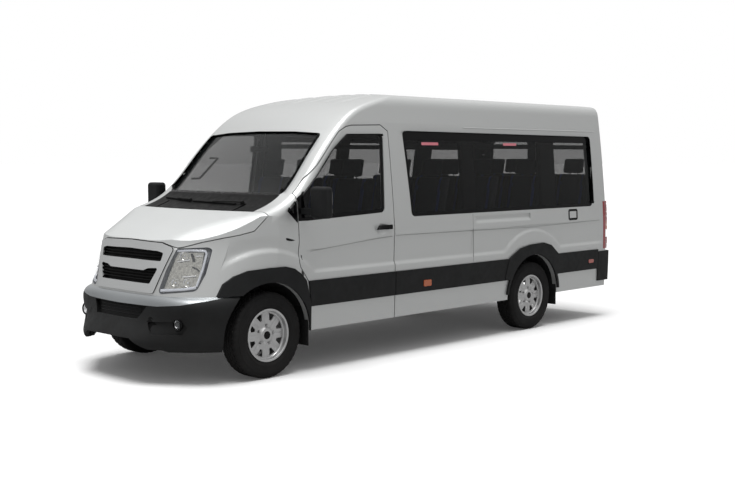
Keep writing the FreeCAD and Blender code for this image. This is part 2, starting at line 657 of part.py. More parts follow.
left_side = left_half()
bonnet_side = prism(side_outline(BONNET_SIDE_SHARES), across_y, 0, far)
bonnet_front = prism(front_outline(BONNET_FRONT_SHARES), along_x, -far, far)
bonnet_zone = bonnet_side.common(bonnet_front).cut(upright_round(bonnet_rear_radius))
bonnet_hole_side = prism(side_outline(BONNET_SIDE_SHARES), across_y, 0, far, 0, seam)
bonnet_hole_front = prism(front_outline(BONNET_FRONT_SHARES), along_x, -far, far, 0, seam)
bonnet_hole = bonnet_hole_side.common(bonnet_hole_front).cut(
    upright_round(bonnet_rear_radius - seam))

windscreen_hole = prism(front_outline(WINDSCREEN_SHARES), along_x, 0, far, window_radius)
windscreen_pane = prism(front_outline(WINDSCREEN_SHARES), along_x, 0, far, window_radius,
                        -fit_gap)
glass_outer = swept_profile(size["glass_inset"]).common(windscreen_pane)
pieces["windscreen"] = glass_outer.cut(swept_profile(size["glass_inset"]
                                                     + size["glass_thickness"]))

bonnet_half = outer.common(bonnet_zone).cut(body_half(size["bonnet_wall"]))
arm_y = size["bonnet_arm_y"]
pin = Vector(bonnet_hinge_x, 0, bonnet_hinge_z)
half_arm = size["bonnet_arm_height"] / 2
arm_width = size["bonnet_arm_width"]
arm_end = pin + Vector(size["bonnet_arm_length"], 0, 0)
arm_outline = [pin + Vector(0, 0, -half_arm), arm_end + Vector(0, 0, -half_arm),
               arm_end + Vector(0, 0, wall), pin + Vector(size["bonnet_arm_length"] / 2, 0,
                                                          wall),
               pin + Vector(half_arm, 0, half_arm), pin + Vector(0, 0, half_arm)]
bonnet_arm = prism(arm_outline, across_y, arm_y - arm_width / 2, arm_y + arm_width / 2)
bonnet_arm = bonnet_arm.fuse(Part.makeCylinder(half_arm, arm_width,
                                               pin + across_y * (arm_y - arm_width / 2),
                                               across_y))
bonnet_arm = bonnet_arm.common(swept_profile(size["bonnet_wall"] / 2))
bonnet_arm = bonnet_arm.cut(Part.makeCylinder(
    size["bonnet_pin_radius"] + size["bearing_gap"], arm_width * 2,
    pin + across_y * (arm_y - arm_width), across_y))
pieces["bonnet"] = whole(bonnet_half.fuse(bonnet_arm))
bracket_y = arm_y + arm_width / 2 + size["glass_thickness"]
bracket = block(Vector(bonnet_hinge_x - half_arm, bracket_y, bonnet_hinge_z - half_arm),
                Vector(bonnet_hinge_x + half_arm, bracket_y + size["bracket_width"], far))
bracket = bracket.common(swept_profile(size["scuttle_wall"] + fit_gap))
hinge_pin = Part.makeCylinder(size["bonnet_pin_radius"],
                              arm_width + size["bracket_width"] + size["glass_thickness"],
                              pin + across_y * (arm_y - arm_width / 2), across_y)
pieces["bonnet_hinges"] = pair(bracket.fuse(hinge_pin))

lamp_hole = prism(front_outline(LAMP_SHARES), along_x, front_axle_x, far,
                  size["outline_radius"])
lamp_fill = prism(front_outline(LAMP_SHARES), along_x, front_axle_x, far,
                  size["outline_radius"], -fit_gap)
lamp = front_skin(-size["lamp_proud"], size["lamp_depth"], lamp_fill)
pieces["head_lamps"] = pair(lamp)

grille_hole = prism(front_outline(GRILLE_SHARES), along_x, front_axle_x, far,
                    size["outline_radius"])
grille_fill = prism(front_outline(GRILLE_SHARES), along_x, front_axle_x, far,
                    size["outline_radius"], -fit_gap).common(left_side)
openings = [prism(front_outline(shares), along_x, front_axle_x, far,
                  size["outline_radius"] / 2)
            for shares in (GRILLE_TOP_OPENING_SHARES, GRILLE_LOW_OPENING_SHARES)]
slat_low = GRILLE_LOW_OPENING_SHARES[-1][1] * roof_height
slat_high = GRILLE_TOP_OPENING_SHARES[1][1] * roof_height
slat_count = int((slat_high - slat_low) / size["slat_pitch"])
slat_bars = [block(Vector(front_axle_x, 0, slat_low + index * size["slat_pitch"]),
                   Vector(far, far, slat_low + index * size["slat_pitch"]
                          + size["slat_height"]))
             for index in range(1, slat_count)]
grille = front_skin(-size["grille_proud"], size["grille_back"], grille_fill).cut(openings)
grille_inside = front_skin(size["grille_back"], size["grille_back"] + size["slat_depth"],
                           grille_fill)
slat_set = front_skin(size["slat_depth"], size["grille_back"], grille_fill).common(
    Part.makeCompound(slat_bars))
pieces["grille"] = whole(grille.fuse([grille_inside, slat_set]))

fender_top = FENDER_TOP_SHARE * roof_height
waist = size["waist_height"]
cowl_zone = upright_round(far).cut(upright_round(scuttle_rear_radius)).common(
    block(Vector(front_axle_x - far, 0, fender_top),
          Vector(far, SCUTTLE_SIDE_SHARE * half_width, roof_height)))
cab_shell = outer.common(block(Vector(side_front, 0, side_low),
                               Vector(far, far, roof_low))).cut(inner)
cab_shell = cab_shell.cut([windscreen_hole, bonnet_hole, door_hole, cowl_zone])
scuttle_zone = upright_round(bonnet_rear_radius - seam).cut(
    upright_round(scuttle_rear_radius + fit_gap)).common(
    block(Vector(front_axle_x - far, 0, fender_top),
          Vector(far, SCUTTLE_SIDE_SHARE * half_width - fit_gap, roof_height)))
slot = block(Vector(bonnet_hinge_x, arm_y - size["hinge_slot"] / 2, fender_top),
             Vector(far, arm_y + size["hinge_slot"] / 2, roof_height))
scuttle = outer.common(scuttle_zone).cut(body_half(size["scuttle_wall"])).cut(slot)
pieces["scuttle"] = whole(scuttle)

front_arch = wheel_cylinder(front_axle_x + size["trim_gap"], size["arch_radius"], 0, far)
nose_low = block(Vector(front_axle_x + size["arch_radius"] / 2, -far, 0),
                 Vector(far, far, waist))
fender_rear = along(FENDER_REAR_SHARE)
lower_cab = cab_shell.common(block(Vector(fender_rear, 0, side_low),
                                   Vector(far, far, fender_top)))
lower_cab = lower_cab.cut([front_arch, nose_low, lamp_hole, grille_hole])
fender_edge = FENDER_EDGE_SHARE * half_width
lamp_side = block(Vector(front_axle_x, 0, 0), Vector(far, fender_edge, far))
door_swing = Part.makeCylinder(size["hinge_depth"] + size["swing_room"],
                               size["cladding_high"],
                               Vector(door_hinge_x, door_hinge_y, size["cladding_high"]))
pieces["fenders"] = pair(lower_cab.cut([lamp_side, door_swing]))
pieces["front_panel"] = whole(lower_cab.common(lamp_side))
quarter_seat = skin(0, recess).common(prism(side_outline(QUARTER_SHARES), across_y, 0, far,
                                            size["trim_gap"]))
quarter_fill = prism(side_outline(QUARTER_SHARES), across_y, 0, far, size["trim_gap"],
                     -fit_gap)
quarter_glass = skin(recess - fit_gap - size["glass_thickness"],
                     recess - fit_gap).common(quarter_fill)
frame_half = cab_shell.common(between_heights(fender_top, far)).cut(quarter_seat)
pieces["cab_frame"] = whole(frame_half)
pieces["side_windows"] = Part.makeCompound(
    [glass_left, quarter_glass, mirrored(quarter_glass),
     mirrored(flush_glass(SLIDING_BAND_SHARES)), mirrored(flush_glass(REAR_BAND_SHARES))])


# Bumpers

# (height share, then overhang share and half width share round the nose)
BUMPER_SHARES = (
    (0.2919, ((0.8196, 0), (0.8041, 0.4), (0.7577, 0.58), (0.6753, 0.71), (0.5825, 0.8),
              (0.4536, 0.89), (0.3093, 0.95))),
    (0.2584, ((0.8711, 0), (0.8505, 0.38), (0.8093, 0.6), (0.7474, 0.75), (0.6495, 0.85),
              (0.4845, 0.94), (0.3093, 0.985))),
    (0.214, ((0.9124, 0), (0.8918, 0.31), (0.8247, 0.57), (0.7577, 0.72), (0.6649, 0.83),
             (0.5052, 0.935), (0.3093, 0.99))),
    (0.1584, ((0.9945, 0), (0.979, 0.31), (0.873, 0.55), (0.7655, 0.7), (0.6753, 0.82),
              (0.5155, 0.93), (0.3093, 0.985))),
    (0.11, ((0.9635, 0), (0.943, 0.31), (0.832, 0.53), (0.7268, 0.68), (0.6289, 0.79),
            (0.4794, 0.9), (0.3093, 0.95))),
)
BUMPER_REAR_SHARE = 0.3
BUMPER_LOW_SHARES = ((0, 0.08), (0, 0.154), (0.31, 0.1535), (0.365, 0.1415),
                     (0.47, 0.118), (0.56, 0.1175), (0.6, 0.11), (0.6, 0.08))
FOG_RECESS_SHARES = ((0.424, 0.207), (0.734, 0.2148), (0.765, 0.195), (0.73, 0.172),
                     (0.494, 0.168))
LINING_SHARE = 0.7
LENS_SHARE = 0.2
REAR_BUMPER_SHARE = -1.83

STRIP_LOW_SHARES = ((0, 0.2576), (0.5, 0.2596), (0.72, 0.268), (0.86, 0.281),
                    (0.97, 0.297), (1.1, 0.31), (1.1, 0.4), (0, 0.4))
INTAKE_SHARES = ((0, 0.212), (0.3, 0.212), (0.385, 0.257), (0, 0.257))
FOG_LAMP_SHARES = (0.69, 0.204)
ARCH_TRIM_SHARES = ((-0.1192, 0.146), (-0.1192, 0.24), (-0.104, 0.324), (-0.088, 0.348),
                    (-0.068, 0.368), (-0.0427, 0.3776), (0.0103, 0.3776), (0.2165, 0.372),
                    (0.3402, 0.356), (0.433, 0.332), (0.4897, 0.294), (0.4897, 0.2921),
                    (0.3, 0.2921), (0.0103, 0.25), (-0.11, 0.146))
REAR_ARCH_SHARES = ((-0.8587, 0.23), (-0.88, 0.32), (-0.9333, 0.36), (-0.9813, 0.372),
                    (-1.1111, 0.376), (-1.2026, 0.362), (-1.2941, 0.32), (-1.317, 0.23))


def bumper_form(inset):
    """The left half of the bumper's outer form, at a distance inside its face."""
    wires = []
    for rise, plan in BUMPER_SHARES:
        z = rise * roof_height
        points = [(front_axle_x + ahead * size["front_overhang"], across * half_width)
                  for ahead, across in plan]
        if inset:
            middle = points[0][0] - inset
            points = stepped_inward(points, inset)
            points[0] = (middle, 0)
        row = [Vector(x, -y, z) for x, y in reversed(points)][:-1]
        row += [Vector(x, y, z) for x, y in points]
        curve = spline(row).toShape()
        wires.append(Part.Wire([curve, Part.makeLine(row[-1], row[0])]))
    return Part.makeLoft(wires, True, False).common(left_side)


bumper_outer = bumper_form(0)
bumper = bumper_outer.cut(bumper_form(size["bumper_wall"]))
bumper = bumper.cut([front_arch, block(Vector(-far, 0, 0),
                                       Vector(along(BUMPER_REAR_SHARE), far,
                                              roof_height))])
strip_zone = prism(front_outline(STRIP_LOW_SHARES), along_x, front_axle_x, far)
intake = prism(front_outline(INTAKE_SHARES), along_x, front_axle_x, far).cut(
    bumper_form(size["bumper_wall"] * LINING_SHARE))
fog_centre = Vector(front_axle_x, FOG_LAMP_SHARES[0] * half_width,
                    FOG_LAMP_SHARES[1] * roof_height)
fog_room = Part.makeCylinder(size["fog_lamp_radius"], size["front_overhang"], fog_centre,
                             along_x).cut(bumper_form(size["bumper_wall"] * LINING_SHARE))
fog_lamp = Part.makeCylinder(size["fog_lamp_radius"] - fit_gap, size["front_overhang"],
                             fog_centre, along_x).common(
    bumper_form(size["bumper_wall"] * LENS_SHARE)).cut(
    bumper_form(size["bumper_wall"] * LINING_SHARE - fit_gap))
fog_recess = prism(front_outline(FOG_RECESS_SHARES), along_x, front_axle_x, far,
                   size["trim_gap"]).cut(bumper_form(size["fog_recess_depth"]))
low_cut = prism(front_outline(BUMPER_LOW_SHARES), along_x, front_axle_x, far)
pieces["bumper_strip"] = whole(bumper.common(strip_zone))
pieces["front_bumper"] = whole(bumper.cut([strip_zone, intake, fog_recess, fog_room,
                                           low_cut]))
pieces["fog_lamps"] = pair(fog_lamp)

rear_bumper_zone = block(Vector(tail_end, 0, size["rear_bumper_low"]),
                         Vector(along(REAR_BUMPER_SHARE), far,
                                size["rear_bumper_high"]))
rear_section = Part.Face(section_wire(tail_end, -size["rear_bumper_side"]))
rear_form = rear_section.extrude(Vector(size["rear_overhang"], 0, 0))
rear_form = rear_form.common(rear_bumper_zone)
corner = [edge for edge in rear_form.Edges
          if edge.BoundBox.XMax < tail_end + fit_gap
          and edge.BoundBox.YMin > 0.5 * half_width]
rear_form = rear_form.makeFillet(size["tail_radius"] + size["rear_bumper_side"], corner)
body_room = Part.Face(section_wire(tail_face - fit_gap, 0)).extrude(
    Vector(size["rear_overhang"], 0, 0))
pieces["rear_bumper"] = whole(rear_form.cut(body_room))

# Cladding and arch trims

cladding_skin = skin(-size["cladding_proud"], 0)
cladding_band = cladding_skin.common(block(Vector(along(REAR_BUMPER_SHARE) + fit_gap, 0,
                                                  size["cladding_low"]),
                                           Vector(side_front, far, size["cladding_high"])))
rear_arch_zone = prism(side_outline(REAR_ARCH_SHARES), across_y, 0, far,
                       size["outline_radius"])
arch_ring = wheel_cylinder(rear_axle_x, size["arch_radius"] + size["arch_lip"], 0, far)
arch_ring = arch_ring.common(between_heights(size["arch_low"], far))
rear_trim = skin(-size["arch_proud"], 0).common(rear_arch_zone.fuse(arch_ring))
side_trim = cladding_band.fuse(rear_trim).cut(
    wheel_cylinder(rear_axle_x, size["arch_radius"], 0, far))
front_form = side_prism(-size["arch_proud"]).common(nose_prism(-size["arch_proud"]))
front_zone = prism(side_outline(ARCH_TRIM_SHARES), across_y, 0, far)
front_trim = front_form.common(front_zone).cut(side_prism(0).common(nose_prism(0)))
front_trim = front_trim.cut([front_arch, door_hole])
pieces["side_cladding"] = Part.makeCompound([side_trim, mirrored(side_trim), front_trim,
                                             mirrored(front_trim)])
door_cladding = cladding_skin.common(door_prism).common(
    between_heights(size["cladding_low"], size["cladding_high"]))
pieces["driver_door_cladding"] = door_cladding
pieces["passenger_door_cladding"] = mirrored(door_cladding)

# Mirrors

MIRROR_SHARES = (-0.1213, 0.54)


def door_mirror():
    """A mirror housing on a short arm from the corner of the door's window."""
    rear_x = along(MIRROR_SHARES[0])
    low_z = MIRROR_SHARES[1] * roof_height
    start_y = half_width + 2 * size["mirror_arm"]
    housing = block(Vector(rear_x, start_y, low_z),
                    Vector(rear_x + size["mirror_depth"], start_y + size["mirror_width"],
                           low_z + size["mirror_height"]))
    housing = housing.makeFillet(size["mirror_radius"], housing.Edges)
    arm = block(Vector(along(DOOR_WINDOW_SHARES[0][0]) + size["glass_thickness"], 0,
                       low_z + size["mirror_radius"]),
                Vector(door_hinge_x, start_y + size["mirror_arm"],
                       low_z + size["mirror_radius"] + size["mirror_arm"]))
    return housing.fuse(arm.cut(side_prism(0)))


pieces["mirror_left"] = door_mirror()
pieces["mirror_right"] = mirrored(pieces["mirror_left"])

# Wheel housings, floor and firewall

tyre_radius = size["tyre_radius"]
housing_wall = size["housing_wall"]
arch_radius = size["arch_radius"]


def housing(place_x, inner_y, closed, low_z):
    """The dome over a wheel, inside the body side."""
    outside = wheel_cylinder(place_x, arch_radius + housing_wall, inner_y, half_width)
    start_y = inner_y + housing_wall if closed else inner_y
    inside = wheel_cylinder(place_x, arch_radius, start_y, half_width + overrun)
    dome = outside.cut(inside).common(between_heights(low_z, far))
    return dome.common(side_prism(wall + fit_gap))


front_housing = housing(front_axle_x + size["trim_gap"], size["front_housing_inner"], False,
                        size["cladding_low"])
front_housing = front_housing.common(nose_prism(wall + fit_gap)).common(
    between_stations(-far, along(BUMPER_REAR_SHARE) - fit_gap))
rear_housing = housing(rear_axle_x, size["housing_inner"], True, size["rail_low"])
pieces["wheel_housings"] = Part.makeCompound(
    [front_housing, mirrored(front_housing), rear_housing, mirrored(rear_housing)])
floor_low = size["rail_low"] + size["rail_height"]
floor_high = floor_low + size["floor_thickness"]
firewall_x = along(FIREWALL_SHARE)
floor_room = side_prism(wall + fit_gap).common(
    block(Vector(tail_face + wall + fit_gap, 0, floor_low),
          Vector(side_front, far, floor_high)))
cab_room = side_prism(wall + seam)
cab_floor = cab_room.common(block(Vector(side_front, 0, floor_low),
                                  Vector(firewall_x, far, floor_high)))
firewall = cab_room.common(block(Vector(firewall_x, 0, floor_low),
                                 Vector(firewall_x + size["firewall_thickness"], far,
                                        fender_top)))
wheel_rooms = [wheel_cylinder(x, arch_radius + housing_wall + fit_gap, inner_y - fit_gap, far)
               for x, inner_y in ((front_axle_x + size["trim_gap"],
                                   size["front_housing_inner"]),
                                  (rear_axle_x, size["housing_inner"]))]
floor = floor_room.fuse([cab_floor, firewall]).cut(wheel_rooms)
pieces["floor"] = whole(floor)

# Dashboard and seats

DASH_SHARES = ((-0.08, 0.39), (-0.08, 0.586), (-0.12, 0.566), (-0.168, 0.548),
               (-0.192, 0.5), (-0.18, 0.42), (-0.14, 0.39))
dash_room = side_prism(wall + size["dash_inset"]).common(left_side).common(
    between_stations(-far, firewall_x - fit_gap))
dash_solid = prism(side_outline(DASH_SHARES), across_y, 0, far).common(dash_room).common(
    swept_profile(wall))
STEERING_SHARES = (-0.2133, 0.5, 0.52)
STEERING_ANGLE = 55
lean = math.radians(STEERING_ANGLE)
steering_centre = Vector(along(STEERING_SHARES[0]), STEERING_SHARES[1] * half_width,
                         STEERING_SHARES[2] * roof_height)
steering_axis = Vector(-math.sin(lean), 0, math.cos(lean))
column_start = steering_centre - steering_axis * (size["steering_depth"] / 2
                                                  + size["glass_thickness"])
column = Part.makeCylinder(size["column_radius"], size["column_length"], column_start,
                           steering_axis * -1)
shaft = Part.makeCylinder(size["steering_shaft"] - size["bearing_gap"],
                          size["steering_depth"] + size["glass_thickness"], column_start,
                          steering_axis)
pieces["dashboard"] = whole(dash_solid).fuse([column, shaft])


def seat(front_x, low_z, centre_y, width, leg_side):
    """One seat: a pedestal, a cushion, a leaning back and a headrest, in one piece."""
    depth = size["seat_depth"]
    thick = size["seat_thickness"]
    rise = size["seat_height"]
    back = size["seat_back"]
    lean = back * 0.2
    half = width / 2
    rear_x = front_x - depth
    side = [Vector(front_x, 0, low_z + rise - thick), Vector(front_x, 0, low_z + rise),
            Vector(rear_x, 0, low_z + rise),
            Vector(rear_x - lean, 0, low_z + rise + back),
            Vector(rear_x - lean - thick, 0, low_z + rise + back),
            Vector(rear_x - thick, 0, low_z + rise - thick)]
    shape = prism(side, across_y, centre_y - half, centre_y + half, thick / 4)
    rest_x = rear_x - lean - thick * 0.85
    headrest = block(Vector(rest_x, centre_y - size["headrest_width"] / 2,
                            low_z + rise + back - thick / 4),
                     Vector(rest_x + thick * 0.7, centre_y + size["headrest_width"] / 2,
                            low_z + rise + back + size["headrest_height"]))
    leg_y = centre_y + leg_side * (half - size["leg_width"])
    leg = block(Vector(rear_x, leg_y - size["leg_width"] / 2, low_z),
                Vector(front_x - depth / 4, leg_y + size["leg_width"] / 2,
                       low_z + rise - thick / 2))
    return shape.fuse([headrest, leg])


CAB_SEAT_SHARE = -0.225
ROW_SHARES = (-0.48, -0.6933, -0.9067)
BENCH_SHARE = -1.425
CAB_SEAT_SHARES = ((0.5, 0.54), (-0.16, 0.46), (-0.64, 0.46))
seat_width = size["seat_width"]
cab_seats = [seat(along(CAB_SEAT_SHARE), floor_high, across * half_width,
                  wide * half_width, 0) for across, wide in CAB_SEAT_SHARES]
pieces["cab_seats"] = Part.makeCompound(cab_seats)
seats = []
for station in ROW_SHARES:
    front_x = along(station)
    first_y = size["aisle_left"] + seat_width / 2
    seats.append(seat(front_x, floor_high, first_y, seat_width, 0))
    seats.append(seat(front_x, floor_high, first_y + seat_width + size["seat_gap"], seat_width,
                      -1))
    seats.append(seat(front_x, floor_high, -size["aisle_right"] - seat_width / 2, seat_width,
                      1))
for index in range(4):
    seats.append(seat(along(BENCH_SHARE), floor_high,
                      (index - 1.5) * (seat_width + size["seat_gap"]), seat_width,
                      0 if index in (1, 2) else (1.5 - index) / 1.5))
pieces["passenger_seats"] = Part.makeCompound(seats)

RACK_SHARES = (-0.47, -1.88)
RACK_WALL_SHARE = 0.86
rack_room = side_prism(wall + fit_gap)
rack_low = size["rack_height"]
rack = rack_room.common(block(
    Vector(along(RACK_SHARES[1]), RACK_WALL_SHARE * half_width - size["rack_depth"], rack_low),
    Vector(along(RACK_SHARES[0]), far, rack_low + size["rack_thickness"])))
pieces["luggage_racks"] = pair(rack)

for name, shape in pieces.items():
    node = document.addObject("Part::Feature", name)
    node.Label = name
    node.Shape = shape
    node.Placement = FreeCAD.Placement()

# Wheels and tyres

# (size that the radius follows, radius share, share of the tyre's width)
TYRE_SHARES = (("bead_radius", 1, 0.0814), ("bead_radius", 1, 0.9186),
               ("rim_radius", 1.009, 0.9186), ("tyre_radius", 0.788, 1),
               ("tyre_radius", 0.9375, 0.9558), ("tyre_radius", 0.985, 0.915),
               ("tyre_radius", 1, 0.85), ("tyre_radius", 1, 0.15),
               ("tyre_radius", 0.985, 0.085), ("tyre_radius", 0.9375, 0.0442),
               ("tyre_radius", 0.788, 0), ("rim_radius", 1.009, 0.0814))
RIM_SHARES = (("hub_bore", 1, 0.2674), ("hub_bore", 1, 0.8628), ("hub_radius", 1, 0.8628),
              ("hub_radius", 1, 0.7698), ("rim_radius", 0.42, 0.7326),
              ("rim_radius", 0.664, 0.7791), ("rim_radius", 0.841, 0.7326),
              ("rim_radius", 0.898, 0.7791), ("rim_radius", 0.9115, 0.9512),
              ("rim_radius", 1, 0.9512), ("rim_radius", 1, 0.92), ("bead_radius", 0.9986, 0.92),
              ("bead_radius", 0.9986, 0.08), ("rim_radius", 1, 0.08),
              ("rim_radius", 1, 0.0488), ("rim_radius", 0.9027, 0.0488),
              ("rim_radius", 0.9027, 0.6023), ("rim_radius", 0.832, 0.6581),
              ("rim_radius", 0.664, 0.7047), ("rim_radius", 0.42, 0.6581),
              ("rim_radius", 0.354, 0.593), ("rim_radius", 0.354, 0.2674))


def origin_plane(body, role):
    """One of a body's own origin planes."""
    return next(item for item in body.Origin.OriginFeatures if item.Role == role)


def new_sketch(body, name, role):
    """A sketch on one of the body's origin planes."""
    sketch = body.newObject("Sketcher::SketchObject", name)
    sketch.AttachmentSupport = (origin_plane(body, role), "")
    sketch.MapMode = "FlatFace"
    return sketch


def turned_body(name, shares):
    """A body turned about the axle line from a section of (size, share, width share)."""
    body = document.addObject("PartDesign::Body", name)
    body.Label = name
    sketch = new_sketch(body, name + "_section", "XY_Plane")
    points = [Vector(size[alias] * share, size["tyre_width"] * across, 0)
              for alias, share, across in shares]
    count = len(points)
    for index, point in enumerate(points):
        sketch.addGeometry(Part.LineSegment(point, points[(index + 1) % count]), False)
    for index in range(count):
        sketch.addConstraint(Sketcher.Constraint("Coincident", index, 2,
                                                 (index + 1) % count, 1))
    for index, (alias, share, across) in enumerate(shares):
        point = points[index]
        radial = sketch.addConstraint(Sketcher.Constraint("DistanceX", -1, 1, index, 1,
                                                          point.x))
        sketch.setExpression("Constraints[%d]" % radial, "Sizes.%s * %s" % (alias, share))
        if across:
            level = sketch.addConstraint(Sketcher.Constraint("DistanceY", -1, 1, index, 1,
                                                             point.y))
            sketch.setExpression("Constraints[%d]" % level,
                                 "Sizes.tyre_width * %s" % across)
        else:
            sketch.addConstraint(Sketcher.Constraint("PointOnObject", index, 1, -1))
    turned = body.newObject("PartDesign::Revolution", name + "_turned")
    turned.Profile = (sketch, [""])
    turned.ReferenceAxis = (sketch, ["V_Axis"])
    turned.Angle = 360
    return body


def cut_slots(body, name):
    """A ring of round holes near the rim of a wheel."""
    sketch = new_sketch(body, name + "_slot", "XZ_Plane")
    sketch.addGeometry(Part.Circle(Vector(size["slot_circle"], 0, 0), Vector(0, 0, 1),
                                   size["slot_radius"]), False)
    radius = sketch.addConstraint(Sketcher.Constraint("Radius", 0, size["slot_radius"]))
    sketch.setExpression("Constraints[%d]" % radius, "Sizes.slot_radius")
    away = sketch.addConstraint(Sketcher.Constraint("DistanceX", -1, 1, 0, 3,
                                                    size["slot_circle"]))
    sketch.setExpression("Constraints[%d]" % away, "Sizes.slot_circle")
    sketch.addConstraint(Sketcher.Constraint("PointOnObject", 0, 3, -1))
    pocket = body.newObject("PartDesign::Pocket", name + "_hole")
    pocket.Profile = (sketch, [""])
    pocket.Type = "ThroughAll"
    pocket.Midplane = True
    document.recompute()
    ring = body.newObject("PartDesign::PolarPattern", name + "_ring")
    ring.Originals = [pocket]
    ring.Axis = (origin_plane(body, "Y_Axis"), [""])
    ring.Angle = 360
    ring.setExpression("Occurrences", "Sizes.slot_count")
    body.Tip = ring


for place, axle_text in (("front", FRONT_AXLE), ("rear", REAR_AXLE)):
    for hand, side_sign in (("left", 1), ("right", -1)):
        for kind, shares in (("tyre", TYRE_SHARES), ("wheel", RIM_SHARES)):
            name = kind + "_" + place + "_" + hand
            body = turned_body(name, shares)
            if kind == "wheel":
                cut_slots(body, name)
            turn = FreeCAD.Rotation(Vector(0, 0, 1), 0 if side_sign > 0 else 180)
            body.Placement = FreeCAD.Placement(Vector(0, 0, 0), turn)
            body.setExpression("Placement.Base.x", axle_text)
            body.setExpression("Placement.Base.y",
                               "(Sizes.wheel_track - Sizes.tyre_width) / 2 * %d" % side_sign)
            body.setExpression("Placement.Base.z", "Sizes.tyre_radius")


# Frame, axles and mechanical masses

def place_at(item, places):
    """Binds the place of an object to the sheet."""
    for axis, text in zip("xyz", places):
        item.setExpression("Placement.Base." + axis, text)


def bound_box(name, sizes, places):
    """A box whose three sizes and lowest corner are expressions."""
    item = document.addObject("Part::Box", name)
    for side, text in zip(("Length", "Width", "Height"), sizes):
        item.setExpression(side, text)
    place_at(item, places)
    return item


def bound_bar(name, radius, reach, places, direction):
    """A round bar along an axis, with its size and start as expressions."""
    item = document.addObject("Part::Cylinder", name)
    item.setExpression("Radius", radius)
    item.setExpression("Height", reach)
    item.Placement = FreeCAD.Placement(Vector(0, 0, 0),
                                       FreeCAD.Rotation(Vector(0, 0, 1), direction))
    place_at(item, places)
    return item


def joined(name, members):
    """One solid from several."""
    item = document.addObject("Part::MultiFuse", name)
    item.Shapes = members
    item.Refine = True
    item.Label = name
    return item


def grouped(name, members):
    """Several like solids that share a node."""
    item = document.addObject("Part::Compound", name)
    item.Links = members
    item.Label = name
    return item


HANDS = (("left", 1), ("right", -1))
# station of each cross member, as a share of the wheelbase behind the front axle
MEMBER_SHARES = (-0.165, -0.03, 0.055, 0.24, 0.37, 0.5, 0.68, 0.9, 1.12, 1.33)

rails = []
for hand, side_sign in HANDS:
    low_y = "Sizes.rail_offset" if side_sign > 0 else "-Sizes.rail_offset - Sizes.rail_width"
    rails.append(bound_box("rail_" + hand,
                           ("Sizes.wheelbase + Sizes.rail_ahead + Sizes.rail_behind",
                            "Sizes.rail_width", "Sizes.rail_height"),
                           (REAR_AXLE + " - Sizes.rail_behind", low_y, "Sizes.rail_low")))
for index, share in enumerate(MEMBER_SHARES):
    rails.append(bound_box("member_%d" % index,
                           ("Sizes.member_width", "2 * Sizes.rail_offset",
                            "Sizes.member_height"),
                           (FRONT_AXLE + " - %s * Sizes.wheelbase" % share,
                            "-Sizes.rail_offset",
                            "Sizes.rail_low + Sizes.rail_height - Sizes.member_height")))
joined("chassis", rails)

engine = bound_box("engine", ("Sizes.engine_length", "Sizes.engine_width",
                              "Sizes.engine_height"),
                   (FRONT_AXLE + " - Sizes.engine_behind", "-Sizes.engine_width / 2",
                    "Sizes.rail_low + Sizes.rail_height"))
engine.Label = "engine"
member_low = "(Sizes.rail_low + Sizes.rail_height - Sizes.member_height - Sizes.fit_gap)"
gearbox = bound_box("gearbox", ("Sizes.gearbox_length", "Sizes.gearbox_width",
                                member_low + " - Sizes.gearbox_low"),
                    (FRONT_AXLE + " - Sizes.engine_behind - Sizes.gearbox_length",
                     "-Sizes.gearbox_width / 2", "Sizes.gearbox_low"))
gearbox.Label = "gearbox"
shaft_start = "(" + REAR_AXLE + " + Sizes.differential_radius + Sizes.fit_gap)"
shaft_stop = ("(" + FRONT_AXLE + " - Sizes.engine_behind - Sizes.gearbox_length"
              " - Sizes.fit_gap)")
drive_shaft = bound_bar("drive_shaft", "Sizes.shaft_radius", shaft_stop + " - " + shaft_start,
                        (shaft_start, "0 * Sizes.shaft_radius", "Sizes.tyre_radius"), along_x)
drive_shaft.Label = "drive_shaft"
tank = bound_box("fuel_tank", ("Sizes.tank_length", "Sizes.tank_width", "Sizes.tank_height"),
                 (FRONT_AXLE + " - Sizes.tank_behind - Sizes.tank_length",
                  "Sizes.rail_offset + Sizes.rail_width + Sizes.fit_gap", "Sizes.tank_low"))
tank.Label = "fuel_tank"

pipe_z = "(" + member_low + " - Sizes.pipe_radius)"
pipe_start = "(" + REAR_AXLE + " - Sizes.pipe_behind)"
pipe = bound_bar("exhaust_pipe", "Sizes.pipe_radius",
                 FRONT_AXLE + " - Sizes.engine_behind - " + pipe_start,
                 (pipe_start, "-Sizes.pipe_y", pipe_z), along_x)
muffler = bound_bar("muffler", "Sizes.muffler_radius", "Sizes.muffler_length",
                    (REAR_AXLE + " + Sizes.muffler_ahead", "-Sizes.pipe_y",
                     pipe_z + " - Sizes.muffler_drop"), along_x)
joined("exhaust", [pipe, muffler])

# Rear axle on its leaf springs

tube = bound_bar("axle_tube", "Sizes.axle_radius", "2 * Sizes.axle_end",
                 (REAR_AXLE, "-Sizes.axle_end", "Sizes.tyre_radius"), across_y)
spindles = bound_bar("axle_spindles", "Sizes.hub_bore - Sizes.bearing_gap",
                     "2 * Sizes.spindle_end",
                     (REAR_AXLE, "-Sizes.spindle_end", "Sizes.tyre_radius"), across_y)
differential = document.addObject("Part::Sphere", "differential")
differential.setExpression("Radius", "Sizes.differential_radius")
place_at(differential, (REAR_AXLE, "0 * Sizes.axle_radius", "Sizes.tyre_radius"))
spring_half = size["spring_length"] / 2
spring_top = size["rail_low"] - fit_gap
spring_low = size["tyre_radius"] + size["axle_radius"] - size["spring_seat"]
leaf = size["spring_thickness"]
spring_ends = [Vector(rear_axle_x + step * spring_half, 0, spring_top) for step in (-1, 1)]
upper_arc = Part.Arc(spring_ends[0], Vector(rear_axle_x, 0, spring_low + leaf),
                     spring_ends[1]).toShape()
drop = Vector(0, 0, -leaf)
